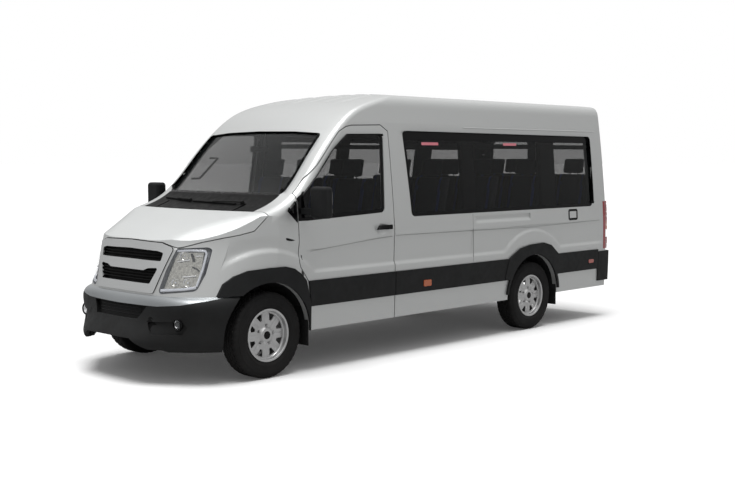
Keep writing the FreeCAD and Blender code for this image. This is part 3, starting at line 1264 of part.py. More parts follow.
lower_arc = Part.Arc(spring_ends[0] + drop, Vector(rear_axle_x, 0, spring_low),
                     spring_ends[1] + drop).toShape()
spring_face = Part.Face(Part.Wire([upper_arc,
                                   Part.makeLine(spring_ends[1], spring_ends[1] + drop),
                                   lower_arc,
                                   Part.makeLine(spring_ends[0] + drop, spring_ends[0])]))
spring_face.translate(across_y * (size["spring_y"] - size["spring_width"] / 2))
spring_left = spring_face.extrude(across_y * size["spring_width"])
springs = []
for hand, shape in (("left", spring_left), ("right", mirrored(spring_left))):
    item = document.addObject("Part::Feature", "leaf_spring_" + hand)
    item.Shape = shape
    springs.append(item)
joined("rear_axle", [tube, spindles, differential] + springs)

# Front suspension and steering knuckles

knuckle_low = "(Sizes.tyre_radius - Sizes.knuckle_height / 2)"
knuckle_high = "(Sizes.tyre_radius + Sizes.knuckle_height / 2)"
arm_low = "(" + knuckle_low + " - Sizes.fit_gap - Sizes.arm_thickness)"
rail_outer = "(Sizes.rail_offset + Sizes.rail_width)"
arm_outer = "(Sizes.kingpin_y + Sizes.arm_width / 2)"
frame_parts = [bound_box("subframe", ("Sizes.subframe_width", "2 * " + rail_outer,
                                      "Sizes.subframe_height"),
                         (FRONT_AXLE + " - Sizes.subframe_width / 2", "-" + rail_outer,
                          arm_low))]
upper_arms = []
kingpin_bores = []
pin_reach = ("Sizes.knuckle_height + 2 * (Sizes.fit_gap + Sizes.arm_thickness)")
up_z = Vector(0, 0, 1)
for hand, side_sign in HANDS:
    pin_place = (FRONT_AXLE, "%d * Sizes.kingpin_y" % side_sign, arm_low)
    kingpin = bound_bar("kingpin_" + hand, "Sizes.kingpin_radius", pin_reach, pin_place, up_z)
    kingpin_bores.append(bound_bar("kingpin_bore_" + hand,
                                   "Sizes.kingpin_radius + Sizes.bearing_gap", pin_reach,
                                   pin_place, up_z))
    arm_reach = arm_outer + " - " + rail_outer
    inner_y = rail_outer if side_sign > 0 else "-" + arm_outer
    post_y = "Sizes.rail_offset" if side_sign > 0 else "-" + rail_outer
    frame_parts.append(bound_box(
        "lower_arm_" + hand, ("Sizes.arm_width", arm_reach, "Sizes.arm_thickness"),
        (FRONT_AXLE + " - Sizes.arm_width / 2", inner_y, arm_low)))
    frame_parts.append(bound_box(
        "post_" + hand, ("Sizes.arm_width", "Sizes.rail_width",
                         "Sizes.rail_low - Sizes.fit_gap - " + arm_low),
        (FRONT_AXLE + " - Sizes.arm_width / 2", post_y, arm_low)))
    upper_y = inner_y + " + Sizes.fit_gap" if side_sign > 0 else inner_y
    upper_arms.append(bound_box(
        "upper_arm_" + hand, ("Sizes.arm_width", arm_reach + " - Sizes.fit_gap",
                              "Sizes.arm_thickness"),
        (FRONT_AXLE + " - Sizes.arm_width / 2", upper_y,
         knuckle_high + " + Sizes.fit_gap")))
    upright = bound_box("upright_" + hand,
                        ("Sizes.knuckle_length", "Sizes.knuckle_width",
                         "Sizes.knuckle_height"),
                        (FRONT_AXLE + " - Sizes.knuckle_length / 2",
                         "%d * Sizes.kingpin_y - Sizes.knuckle_width / 2" % side_sign,
                         knuckle_low))
    spindle_reach = "Sizes.spindle_end - Sizes.kingpin_y"
    spindle_y = "Sizes.kingpin_y" if side_sign > 0 else "-Sizes.spindle_end"
    spindle = bound_bar("spindle_" + hand, "Sizes.hub_bore - Sizes.bearing_gap",
                        spindle_reach, (FRONT_AXLE, spindle_y, "Sizes.tyre_radius"), across_y)
    joined("knuckle_" + hand, [upright, spindle, kingpin])
lower_frame = joined("lower_suspension", frame_parts)
suspension_blank = grouped("suspension_blank", [lower_frame] + upper_arms)
suspension = document.addObject("Part::Cut", "front_suspension")
suspension.Base = suspension_blank
suspension.Tool = grouped("kingpin_bores", kingpin_bores)
suspension.Label = "front_suspension"

# Mud flaps behind the wheels

FLAP_ARCH_SHARE = 0.9968
flaps = []
for place, axle_text, shift in (("front", FRONT_AXLE, "Sizes.trim_gap"),
                                ("rear", REAR_AXLE, "0 * Sizes.trim_gap")):
    for hand, side_sign in HANDS:
        flap_y = ("Sizes.flap_outer - Sizes.flap_width" if side_sign > 0
                  else "-Sizes.flap_outer")
        flaps.append(bound_box(
            "flap_" + place + "_" + hand,
            ("Sizes.flap_thickness", "Sizes.flap_width", "Sizes.flap_high - Sizes.flap_low"),
            (axle_text + " + %s - Sizes.arch_radius * %s" % (shift, FLAP_ARCH_SHARE), flap_y,
             "Sizes.flap_low")))
grouped("mud_flaps", flaps)

# Steering wheel

rim = document.addObject("Part::Torus", "steering_rim")
rim.setExpression("Radius1", "Sizes.steering_wheel_radius")
rim.setExpression("Radius2", "Sizes.steering_grip")
hub = bound_bar("steering_boss", "Sizes.steering_hub", "Sizes.steering_depth",
                ("0 * Sizes.steering_hub", "0 * Sizes.steering_hub",
                 "-Sizes.steering_depth / 2"), Vector(0, 0, 1))
spokes = []
for index, angle in enumerate((0, 135, 225)):
    spoke = document.addObject("Part::Box", "spoke_%d" % index)
    spoke.setExpression("Length", "Sizes.steering_wheel_radius")
    spoke.setExpression("Width", "Sizes.spoke_width")
    spoke.setExpression("Height", "Sizes.steering_grip")
    turn = FreeCAD.Rotation(Vector(0, 0, 1), angle)
    corner = turn.multVec(Vector(0, -size["spoke_width"] / 2, 0))
    corner.z = -size["steering_grip"] / 2
    spoke.Placement = FreeCAD.Placement(corner, turn)
    spokes.append(spoke)
wheel_blank = joined("steering_blank", [rim, hub] + spokes)
bore = bound_bar("steering_bore", "Sizes.steering_shaft", "2 * Sizes.steering_depth",
                 ("0 * Sizes.steering_hub", "0 * Sizes.steering_hub",
                  "-Sizes.steering_depth"), Vector(0, 0, 1))
steering_wheel = document.addObject("Part::Cut", "steering_wheel")
steering_wheel.Base = wheel_blank
steering_wheel.Tool = bore
steering_wheel.Label = "steering_wheel"
steering_wheel.Placement = FreeCAD.Placement(
    steering_centre, FreeCAD.Rotation(Vector(0, 0, 1), steering_axis))

document.recompute()

# Checks, then one file for each node

MOVING_NODES = ["%s_%s_%s" % (kind, place, hand) for kind in ("tyre", "wheel")
                for place in ("front", "rear") for hand in ("left", "right")]
FRAME_NODES = ["chassis", "engine", "gearbox", "drive_shaft", "fuel_tank", "exhaust",
               "rear_axle", "front_suspension", "knuckle_left", "knuckle_right", "mud_flaps",
               "steering_wheel"]

for item in document.Objects:
    if "Invalid" in item.State or "Error" in item.State:
        raise RuntimeError(item.Label + " failed to build")
for name in list(pieces) + MOVING_NODES + FRAME_NODES:
    found = document.getObjectsByLabel(name)
    if len(found) != 1:
        raise RuntimeError(name + " is not one object")
    shape = found[0].Shape
    if shape.isNull() or not shape.isValid() or not shape.Solids:
        raise RuntimeError(name + " has no sound shape")
    shape.exportStep("parts/" + name + ".step")
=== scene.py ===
"""The looks of a passenger minibus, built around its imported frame.

Metres throughout, in the frame's own axes: X forward, Y to the vehicle's left, Z up.
"""

import json
import logging
import math
from dataclasses import dataclass, field
from enum import Enum
from typing import Callable

import bmesh
import bpy
from mathutils import Matrix, Vector
from mathutils.bvhtree import BVHTree

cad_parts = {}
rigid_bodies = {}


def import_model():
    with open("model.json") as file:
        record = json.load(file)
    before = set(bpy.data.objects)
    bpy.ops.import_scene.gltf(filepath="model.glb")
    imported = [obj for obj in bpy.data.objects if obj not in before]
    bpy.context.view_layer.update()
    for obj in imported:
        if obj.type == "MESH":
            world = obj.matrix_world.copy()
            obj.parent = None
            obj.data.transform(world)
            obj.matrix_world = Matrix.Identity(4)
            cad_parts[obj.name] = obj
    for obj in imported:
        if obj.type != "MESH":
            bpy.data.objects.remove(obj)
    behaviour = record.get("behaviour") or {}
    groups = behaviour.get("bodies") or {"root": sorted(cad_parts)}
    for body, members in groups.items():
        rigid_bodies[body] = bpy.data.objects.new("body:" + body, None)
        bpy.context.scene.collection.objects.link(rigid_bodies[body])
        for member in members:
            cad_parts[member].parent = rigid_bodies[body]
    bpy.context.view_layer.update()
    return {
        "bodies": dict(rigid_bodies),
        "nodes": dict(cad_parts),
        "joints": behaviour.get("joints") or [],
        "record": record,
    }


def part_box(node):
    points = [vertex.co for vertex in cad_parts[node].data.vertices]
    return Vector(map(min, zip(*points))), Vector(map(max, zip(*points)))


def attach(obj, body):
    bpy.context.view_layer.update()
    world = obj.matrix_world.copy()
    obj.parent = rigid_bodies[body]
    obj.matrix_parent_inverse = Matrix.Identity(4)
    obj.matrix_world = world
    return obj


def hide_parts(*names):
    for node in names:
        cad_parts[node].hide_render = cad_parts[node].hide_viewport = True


LOG = logging.getLogger("minibus")
UP = Vector((0, 0, 1))
ALONG = Vector((1, 0, 0))
LEFTWARD = Vector((0, 1, 0))
SHARP_ANGLE = math.radians(28)
WELD = 2e-5
FAR = 6.0
Mesh = bmesh.types.BMesh
SPINE = (-2.3, 1.0, 1.3)
INWARD = -0.3


class Look(Enum):
    """A straight look at the vehicle: the way it looks, and which axes lie across and up."""

    LEFT = ((0, -1, 0), 0, 2)
    RIGHT = ((0, 1, 0), 0, 2)
    FRONT = ((-1, 0, 0), 1, 2)
    REAR = ((1, 0, 0), 1, 2)
    TOP = ((0, 0, -1), 0, 1)


@dataclass(frozen=True)
class Viewpoint:
    """The photograph's camera, with its focal length in the photograph's pixels."""

    place: tuple = (8.1443, 7.937, 1.8676)
    yaw: float = 3.9118
    pitch: float = 0.0799
    focal: float = 1094.24
    wide: float = 735
    high: float = 490

    def ahead(self) -> Vector:
        """The way that the camera looks."""
        level = math.cos(self.pitch)
        return Vector((math.cos(self.yaw) * level, math.sin(self.yaw) * level,
                       -math.sin(self.pitch)))

    def ray(self, pixel: tuple) -> Vector:
        """The way from the camera through a pixel of the photograph.

        Args:
            pixel: Its place across and down.

        Returns:
            A vector of length 1.
        """
        right = Vector((math.sin(self.yaw), -math.cos(self.yaw), 0))
        up = right.cross(self.ahead())
        return (self.ahead() + right * ((pixel[0] - self.wide / 2) / self.focal)
                - up * ((pixel[1] - self.high / 2) / self.focal)).normalized()


# Materials


class Nodes:
    """A small hand for building one material's nodes."""

    def __init__(self, name: str) -> None:
        """Starts a material with an empty surface.

        Args:
            name: The material's name.
        """
        self.material = bpy.data.materials.new(name)
        self.material.use_nodes = True
        self.tree = self.material.node_tree
        self.shader = self.tree.nodes["Principled BSDF"]
        self.place = self.add("ShaderNodeTexCoord").outputs["Object"]

    def add(self, kind: str, **inputs: object) -> bpy.types.Node:
        """Adds a node and sets its sockets.

        Args:
            kind: The node's type name.
            **inputs: Socket names, with spaces as underscores, and their values.

        Returns:
            The new node.
        """
        node = self.tree.nodes.new(kind)
        for label, value in inputs.items():
            node.inputs[label.replace("_", " ")].default_value = value
        return node

    def link(self, start: bpy.types.NodeSocket, end: bpy.types.NodeSocket) -> None:
        """Joins two sockets."""
        self.tree.links.new(start, end)

    def set(self, **inputs: object) -> None:
        """Sets sockets of the surface shader."""
        for label, value in inputs.items():
            self.shader.inputs[label.replace("_", " ")].default_value = value

    def noise(self, scale: float, detail: float = 3) -> bpy.types.NodeSocket:
        """A cloudy pattern on the piece's own place.

        Args:
            scale: Clouds per metre.
            detail: How many finer layers it has.

        Returns:
            The pattern's value socket.
        """
        cloud = self.add("ShaderNodeTexNoise", Scale=scale, Detail=detail)
        self.link(self.place, cloud.inputs["Vector"])
        return cloud.outputs["Fac"]

    def ramp(self, value: bpy.types.NodeSocket, stops: list) -> bpy.types.NodeSocket:
        """Turns a value into a colour.

        Args:
            value: The value to read.
            stops: Pairs of a place from 0 to 1 and a colour or grey.

        Returns:
            The colour socket.
        """
        ramp = self.add("ShaderNodeValToRGB")
        points = ramp.color_ramp.elements
        for index, (place, colour) in enumerate(stops):
            point = points[index] if index < len(points) else points.new(place)
            point.position = place
            shade = (colour, colour, colour) if isinstance(colour, float) else colour
            point.color = (*shade, 1)
        self.link(value, ramp.inputs["Fac"])
        return ramp.outputs["Color"]

    def bump(self, value: bpy.types.NodeSocket, depth: float, strength: float = 1) -> None:
        """Raises the surface by a pattern.

        Args:
            value: The height pattern.
            depth: The height of its full range in metres.
            strength: How much of it shows.
        """
        bump = self.add("ShaderNodeBump", Strength=strength, Distance=depth)
        previous = self.shader.inputs["Normal"].links
        if previous:
            self.link(previous[0].from_socket, bump.inputs["Normal"])
        self.link(value, bump.inputs["Height"])
        self.link(bump.outputs["Normal"], self.shader.inputs["Normal"])


@dataclass(frozen=True)
class Finish:
    """A named surface finish. Its kinds set up their own nodes."""

    name: str
    colour: tuple

    def build(self) -> bpy.types.Material:
        """Makes the material.

        Returns:
            The material, made once for each name.
        """
        found = bpy.data.materials.get(self.name)
        if found:
            return found
        nodes = Nodes(self.name)
        self.dress(nodes)
        return nodes.material

    def dress(self, nodes: Nodes) -> None:
        """Sets up the material's nodes; each kind has its own."""
        raise NotImplementedError

    def toned(self, low: float, high: float) -> tuple:
        """The finish's colour times a low and a high share, both held under white."""
        return tuple(tuple(min(1, c * share) for c in self.colour) for share in (low, high))


@dataclass(frozen=True)
class Coating(Finish):
    """A base colour that clouds slightly, gloss, grain and road dust."""

    metallic: float = 0
    roughness: float = 0.5
    coat: float = 0
    spread: float = 0.06
    cloud: float = 6
    grain: float = 0
    grain_scale: float = 900
    dust: float = 0
    shine: float = 0.5
    coat_roughness: float = 0.04
    wear: float = 0.12
    dust_span: tuple = (0.9, 0.1)
    dust_colour: tuple = (0.2, 0.185, 0.165, 1)
    dust_cloud: float = 9

    def dress(self, nodes: Nodes) -> None:
        """Sets up the colour, the gloss, the grain and the dust.

        Args:
            nodes: The material being built.
        """
        nodes.set(Metallic=self.metallic, Coat_Weight=self.coat,
                  Coat_Roughness=self.coat_roughness, Specular_IOR_Level=self.shine)
        dark, pale = self.toned(1 - self.spread, 1 + self.spread)
        base = nodes.ramp(nodes.noise(self.cloud), [(0.3, dark), (0.7, pale)])
        if self.dust:
            base = self.dusted(nodes, base)
        nodes.link(base, nodes.shader.inputs["Base Color"])
        rough = nodes.ramp(nodes.noise(self.cloud * 3, 5),
                           [(0.3, self.roughness * (1 - self.wear)),
                            (0.7, min(1.0, self.roughness * (1 + self.wear)))])
        nodes.link(rough, nodes.shader.inputs["Roughness"])
        if self.grain:
            nodes.bump(nodes.noise(self.grain_scale, 2), self.grain)

    def dusted(self, nodes: Nodes, base: bpy.types.NodeSocket) -> bpy.types.NodeSocket:
        """Adds a thin film of road dust that fades with height.

        Args:
            nodes: The material being built.
            base: The clean colour.

        Returns:
            The dusty colour.
        """
        split = nodes.add("ShaderNodeSeparateXYZ")
        nodes.link(nodes.place, split.inputs["Vector"])
        clean, dirty = self.dust_span
        height = nodes.add("ShaderNodeMapRange", From_Min=clean, From_Max=dirty, To_Max=self.dust)
        nodes.link(split.outputs["Z"], height.inputs["Value"])
        mix = nodes.add("ShaderNodeMix")
        mix.data_type = "RGBA"
        mix.inputs["B"].default_value = self.dust_colour
        share = nodes.add("ShaderNodeMath")
        share.operation = "MULTIPLY"
        nodes.link(height.outputs["Result"], share.inputs[0])
        nodes.link(nodes.noise(self.dust_cloud, 6), share.inputs[1])
        nodes.link(share.outputs[0], mix.inputs["Factor"])
        nodes.link(base, mix.inputs["A"])
        return mix.outputs["Result"]


@dataclass(frozen=True)
class GlassFinish(Finish):
    """Clear or tinted glass that lets light through."""

    alpha: float
    roughness: float = 0.02
    ior: float = 1.45
    film: float = 0.03

    def dress(self, nodes: Nodes) -> None:
        """Sets up a faint tint and a film of dust.

        Args:
            nodes: The material being built.
        """
        nodes.set(Alpha=self.alpha, IOR=self.ior)
        dark, _ = self.toned(0.9, 1)
        nodes.link(nodes.ramp(nodes.noise(3), [(0.3, dark), (0.7, self.colour)]),
                   nodes.shader.inputs["Base Color"])
        film = nodes.ramp(nodes.noise(14, 6), [(0.35, self.roughness),
                                               (0.75, self.roughness + self.film)])
        nodes.link(film, nodes.shader.inputs["Roughness"])


@dataclass(frozen=True)
class PaintFinish(Finish):
    """Metallic body paint: flakes under a clear coat, with a faint orange peel."""

    metallic: float = 0.55
    roughness: float = 0.42
    coat: float = 0.35
    coat_roughness: float = 0.12
    flakes: float = 1500.0
    peel: float = 220
    peel_depth: float = 0.00004

    def dress(self, nodes: Nodes) -> None:
        """Sets up the flakes, the clear coat and the peel.

        Args:
            nodes: The material being built.
        """
        nodes.set(Metallic=self.metallic, Coat_Weight=self.coat,
                  Coat_Roughness=self.coat_roughness)
        flakes = nodes.add("ShaderNodeTexVoronoi", Scale=self.flakes)
        nodes.link(nodes.place, flakes.inputs["Vector"])
        dark, pale = self.toned(0.93, 1.05)
        tone = nodes.ramp(flakes.outputs["Color"], [(0.2, dark), (0.8, pale)])
        nodes.link(tone, nodes.shader.inputs["Base Color"])
        rough = nodes.ramp(nodes.noise(5, 4), [(0.3, self.roughness * 0.94),
                                               (0.7, self.roughness * 1.06)])
        nodes.link(rough, nodes.shader.inputs["Roughness"])
        nodes.bump(nodes.noise(self.peel, 2), self.peel_depth)


@dataclass(frozen=True)
class FabricFinish(Finish):
    """Woven seat cloth with a fine basket weave."""

    threads: float = 420
    weave_depth: float = 0.0006

    def dress(self, nodes: Nodes) -> None:
        """Sets up the weave, its sheen and its relief.

        Args:
            nodes: The material being built.
        """
        nodes.set(Sheen_Weight=0.2, Sheen_Roughness=0.5)
        weave = nodes.add("ShaderNodeTexVoronoi", Scale=self.threads)
        nodes.link(nodes.place, weave.inputs["Vector"])
        # The cells are paler in their middles and darker at their edges: painted shade between the
        # threads, on the same pattern as the relief.
        dark, pale = self.toned(0.55, 1.5)
        nodes.link(nodes.ramp(weave.outputs["Distance"], [(0.1, pale), (0.7, dark)]),
                   nodes.shader.inputs["Base Color"])
        rough = nodes.ramp(nodes.noise(30, 4), [(0.3, 0.82), (0.7, 0.95)])
        nodes.link(rough, nodes.shader.inputs["Roughness"])
        nodes.bump(weave.outputs["Distance"], self.weave_depth)


BODY_PAINT = PaintFinish("silver_paint", (0.585, 0.595, 0.59))
# The bonnet wears the body's silver made paler: painted light, standing for the overhead lamps on
# its upward face.
LIT_BONNET_PAINT = PaintFinish("bonnet_silver_painted_light", (0.68, 0.695, 0.69))
TRIM_SILVER = PaintFinish("trim_silver", (0.62, 0.63, 0.63), roughness=0.34)
STRIP_SILVER = PaintFinish("strip_silver", (0.3, 0.315, 0.325), roughness=0.42)
# Near-black for the grille's slats and backing, the bumper's recesses and the scuttle: black
# plastic taken past the moulded black as painted shade in openings and recesses.
BLACK_WITH_PAINTED_SHADE = Coating("black_with_painted_shade", (0.003, 0.003, 0.003), roughness=0.55, spread=0.2, shine=0.1)
BLACK_PLASTIC = Coating("moulded_black", (0.014, 0.0145, 0.015), roughness=0.6, spread=0.15,
                       grain=0.00012, grain_scale=1400, dust=0.06, shine=0.15)
GLOSS_BLACK = Coating("gloss_black", (0.004, 0.004, 0.0045), roughness=0.2, spread=0.2, shine=0.15)
RUBBER = Coating("tread_rubber", (0.011, 0.011, 0.0115), roughness=0.8, spread=0.2,
                grain=0.0002, grain_scale=500, dust=0.08, shine=0.15)
SEAL = Coating("rubber_seal", (0.01, 0.01, 0.01), roughness=0.7, spread=0.2, shine=0.15)
CREASE_GREY = Coating("crease_shadow", (0.27, 0.275, 0.27), roughness=0.6, spread=0.05)
SEAM_GREY = Coating("seam_shadow", (0.1, 0.1, 0.1), roughness=0.7, spread=0.1)
ALLOY = Coating("wheel_alloy", (0.52, 0.52, 0.52), metallic=0.7, roughness=0.36, coat=0.3,
               grain=0.00003, grain_scale=1800)
CHROME = Coating("bright_chrome", (0.8, 0.8, 0.81), metallic=1, roughness=0.09, spread=0.03)
REFLECTOR = Coating("warm_reflector", (0.5, 0.49, 0.45), metallic=0.9, roughness=0.25, spread=0.3,
                   cloud=45, grain=0.0012, grain_scale=60)
GUIDE = Coating("light_guide", (0.72, 0.74, 0.8), roughness=0.25, coat=0.6, spread=0.03)
LAMP_DARK = Coating("lamp_shade", (0.1, 0.105, 0.12), metallic=0.3, roughness=0.35, spread=0.2)
STEEL = Coating("plain_steel", (0.42, 0.42, 0.42), metallic=1, roughness=0.4, spread=0.12,
               grain=0.00005)
FRAME_BLACK = Coating("chassis_black", (0.015, 0.015, 0.015), roughness=0.5, spread=0.25,
                      dust=0.3, shine=0.15)
CAST_METAL = Coating("rough_casting", (0.28, 0.28, 0.28), metallic=0.8, roughness=0.6, spread=0.2,
                    grain=0.0006, grain_scale=160)
CABIN_GREY = Coating("dark_cabin", (0.02, 0.0205, 0.0215), roughness=0.62, spread=0.12,
                    grain=0.0002, grain_scale=900, shine=0.15)
LINING = Coating("cabin_lining", (0.06, 0.061, 0.062), roughness=0.85, spread=0.1, cloud=20,
                grain=0.0003, grain_scale=700, shine=0.15)
FLOOR_VINYL = Coating("vinyl_sheet", (0.05, 0.05, 0.055), roughness=0.6, spread=0.25,
                     cloud=40, grain=0.0003, grain_scale=260)
SEAT_CLOTH = FabricFinish("seat_cloth", (0.011, 0.013, 0.019))
BLUE_CLOTH = FabricFinish("blue_cloth", (0.012, 0.045, 0.26))
SIDE_GLASS = GlassFinish("side_glass", (0.004, 0.005, 0.005), 0.4)
SCREEN_GLASS = GlassFinish("screen_glass", (0.008, 0.01, 0.01), 0.45)
CLEAR_LENS = GlassFinish("lamp_glass", (0.75, 0.78, 0.8), 0.08)
RED_LENS = Coating("tail_red", (0.27, 0.004, 0.009), roughness=0.14, coat=0.8, spread=0.15,
                  cloud=60)
AMBER_LENS = Coating("amber_lens", (0.5, 0.1, 0.014), roughness=0.2, coat=0.8, spread=0.1)
RED_MARK = Coating("red_marker", (0.45, 0.1, 0.08), roughness=0.25, coat=0.6, spread=0.15)
LABEL_RED = Coating("label_red", (0.8, 0.25, 0.3), roughness=0.5)
PALE_PLATE = Coating("pale_plate", (0.7, 0.7, 0.68), roughness=0.4)


# Making pieces


@dataclass
class Workshop:
    """Turns bmeshes and frame nodes into finished pieces that ride on bodies."""

    made: list = field(default_factory=list)

    def piece(self, name: str, mesh: Mesh, finish: Finish, body: str = "root",
              extra: tuple = ()) -> bpy.types.Object:
        """Makes an object from a bmesh.

        Args:
            name: The object's name.
            mesh: The mesh, which is freed.
            finish: Its finish.
            body: The body it rides on.
            extra: More finishes, for faces with a higher material number.

        Returns:
            The new object.
        """
        data = bpy.data.meshes.new(name)
        for face in mesh.faces:
            face.smooth = True
        for edge in mesh.edges:
            edge.smooth = len(edge.link_faces) == 2 and edge.calc_face_angle(0) < SHARP_ANGLE
        mesh.to_mesh(data)
        mesh.free()
        for entry in (finish, *extra):
            data.materials.append(entry.build())
        item = bpy.data.objects.new(name, data)
        bpy.context.scene.collection.objects.link(item)
        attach(item, body)
        self.made.append(name)
        return item

    def copy_of(self, node: str) -> Mesh:
        """A welded copy of a frame node's mesh.

        Args:
            node: The node's name.

        Returns:
            A new bmesh.
        """
        mesh = bmesh.new()
        mesh.from_mesh(FRAME["nodes"][node].data)
        bmesh.ops.remove_doubles(mesh, verts=mesh.verts, dist=WELD)
        return mesh

    def skin(self, node: str, finish: Finish, slot: str = "", shape: Callable | None = None,
             extra: tuple = (), body: str = "root") -> bpy.types.Object:
        """Replaces a frame node by a welded copy with smooth shading.

        Args:
            node: The node's name.
            finish: Its finish.
            slot: The record's material slot; not used.
            shape: Work on the mesh before it is finished.
            extra: More finishes, for faces with a higher material number.
            body: The body it rides on.

        Returns:
            The new object.
        """
        mesh = self.copy_of(node)
        if shape:
            shape(mesh)
        item = self.piece(node + "_skin", mesh, finish, body, extra)
        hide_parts(node)
        return item

    def dress(self, node: str, finish: Finish) -> None:
        """Gives a frame node that stays a finish.

        Args:
            node: The node's name.
            finish: Its finish.
        """
        item = FRAME["nodes"][node]
        item.data.materials.clear()
        item.data.materials.append(finish.build())


FRAME: dict = {}
SHOP = Workshop()
VIEW = Viewpoint()


@dataclass
class Surface:
    """The outer face of some frame nodes, read by straight looks or from the camera."""

    nodes: tuple
    look: Look = Look.LEFT

    def __post_init__(self) -> None:
        """Sets up the trees that answer the looks."""
        self.trees = []
        for node in self.nodes:
            mesh = SHOP.copy_of(node)
            self.trees.append(BVHTree.FromBMesh(mesh))
            mesh.free()

    def nearest(self, start: Vector, way: Vector, lift: float) -> tuple:
        """The first place that a look meets.

        Args:
            start: Where the look starts.
            way: Its direction.
            lift: How far the returned place stands off the surface.

        Returns:
            The place and the surface's normal there.

        Raises:
            ValueError: The look meets nothing.
        """
        best = None
        for tree in self.trees:
            place, normal, _, distance = tree.ray_cast(start, way)
            if place is not None and (best is None or distance < best[2]):
                facing = normal if normal.dot(way) < 0 else -normal
                best = (place + facing * lift, facing, distance)
        if best is None:
            raise ValueError("nothing of %s at %s" % (self.nodes, tuple(start)))
        return best[0], best[1]

    def at(self, across: float, up: float, lift: float = 0) -> tuple:
        """The place and normal at two coordinates of the straight look.

        Args:
            across: The first coordinate.
            up: The second.
            lift: How far the place stands off the surface.

        Returns:
            The place and the surface's normal there.
        """
        way, first, second = self.look.value
        start = Vector(way) * -FAR
        start[first] = across
        start[second] = up
        return self.nearest(start, Vector(way), lift)

    def seen(self, pixel: tuple, lift: float = 0) -> tuple:
        """The place and normal at a pixel of the photograph."""
        return self.nearest(Vector(VIEW.place), VIEW.ray(pixel), lift)


def join(target: Mesh, part: Mesh) -> Mesh:
    """Adds one bmesh to another and frees it.

    Args:
        target: The mesh that grows.
        part: The mesh that is added.

    Returns:
        The target.
    """
    data = bpy.data.meshes.new("joined")
    part.to_mesh(data)
    part.free()
    target.from_mesh(data)
    bpy.data.meshes.remove(data)
    return target


def gathered(parts: list) -> Mesh:
    """One bmesh of many.

    Args:
        parts: The bmeshes, which are freed.

    Returns:
        The bmesh.
    """
    target = bmesh.new()
    for part in parts:
        join(target, part)
    return target


def whole(mesh: Mesh) -> list:
    """All vertices, edges and faces of a mesh."""
    return mesh.verts[:] + mesh.edges[:] + mesh.faces[:]


def kind_in(geom: list, kind: type) -> list:
    """The parts of one kind, such as vertices, in a list of mesh parts."""
    return [item for item in geom if isinstance(item, kind)]


def both(mesh: Mesh) -> Mesh:
    """Adds the mirror image across the vehicle's middle.

    Args:
        mesh: One side's mesh.

    Returns:
        The same mesh, now with both sides.
    """
    made = bmesh.ops.duplicate(mesh, geom=whole(mesh))
    verts = kind_in(made["geom"], bmesh.types.BMVert)
    faces = kind_in(made["geom"], bmesh.types.BMFace)
    bmesh.ops.scale(mesh, vec=(1, -1, 1), verts=verts)
    bmesh.ops.reverse_faces(mesh, faces=faces)
    return mesh


def mirrored(mesh: Mesh) -> Mesh:
    """Turns a left piece into a right one.

    Args:
        mesh: The left piece's mesh.

    Returns:
        The same mesh, mirrored.
    """
    bmesh.ops.scale(mesh, vec=(1, -1, 1), verts=mesh.verts)
    bmesh.ops.reverse_faces(mesh, faces=mesh.faces)
    return mesh


def box(low: tuple, high: tuple, bevel: float = 0, segments: int = 2) -> Mesh:
    """A box between two corners with rounded edges.

    Args:
        low: The lowest corner.
        high: The highest corner.
        bevel: Radius of its edges.
        segments: Steps round each edge.

    Returns:
        The bmesh.
    """
    mesh = bmesh.new()
    span = Vector(high) - Vector(low)
    bmesh.ops.create_cube(mesh, size=1, matrix=Matrix.Translation((Vector(low) + Vector(high)) / 2)
                          @ Matrix.Diagonal((*span, 1)))
    if bevel:
        bmesh.ops.bevel(mesh, geom=mesh.edges[:], offset=bevel, segments=segments, profile=0.5,
                        affect="EDGES", material=-1)
    return mesh


def lathe(profile: list, place: Vector, axis: Vector, steps: int = 32) -> Mesh:
    """A turned shape.

    Args:
        profile: Pairs of a radius and a place along the axis.
        place: Where the axis starts.
        axis: Its direction.
        steps: Steps round it.

    Returns:
        The bmesh.
    """
    mesh = bmesh.new()
    verts = [mesh.verts.new((radius, 0, along)) for radius, along in profile]
    edges = [mesh.edges.new(pair) for pair in zip(verts, verts[1:])]
    bmesh.ops.spin(mesh, geom=verts + edges, cent=(0, 0, 0), axis=(0, 0, 1),
                   angle=2 * math.pi, steps=steps, use_merge=True)
    bmesh.ops.remove_doubles(mesh, verts=mesh.verts, dist=1e-6)
    bmesh.ops.recalc_face_normals(mesh, faces=mesh.faces)
    turn = axis.to_track_quat("Z", "Y").to_matrix().to_4x4()
    mesh.transform(Matrix.Translation(place) @ turn)
    return mesh


def sweep(path: list, outline: list) -> Mesh:
    """A closed outline carried along a path on a surface.

    Args:
        path: Pairs of a place and the surface's normal there.
        outline: Pairs of a distance across the path and a height off the surface.

    Returns:
        The bmesh, closed at both ends.
    """
    mesh = bmesh.new()
    loops = []
    for index, (place, normal) in enumerate(path):
        before = path[max(index - 1, 0)][0]
        after = path[min(index + 1, len(path) - 1)][0]
        across = normal.cross(after - before).normalized()
        verts = [mesh.verts.new(place + across * side + normal * high) for side, high in outline]
        edges = [mesh.edges.new((verts[turn - 1], verts[turn])) for turn in range(len(verts))]
        loops.append((verts, edges))
    for start, end in zip(loops, loops[1:]):
        bmesh.ops.bridge_loops(mesh, edges=start[1] + end[1])
    mesh.faces.new(loops[0][0])
    mesh.faces.new(loops[-1][0])
    bmesh.ops.recalc_face_normals(mesh, faces=mesh.faces)
    return mesh


def rail(width: float, height: float, sink: float = 0.002) -> list:
    """The section of a low rounded strip, for sweep, that also sinks under the surface."""
    half = width / 2
    return [(-half, -sink), (-half, height * 0.5), (-half * 0.6, height), (half * 0.6, height),
            (half, height * 0.5), (half, -sink)]


def tube(radius: float, steps: int = 10) -> list:
    """A round section, for sweep."""
    return [(radius * math.cos(2 * math.pi * step / steps),
             radius * math.sin(2 * math.pi * step / steps)) for step in range(steps)]


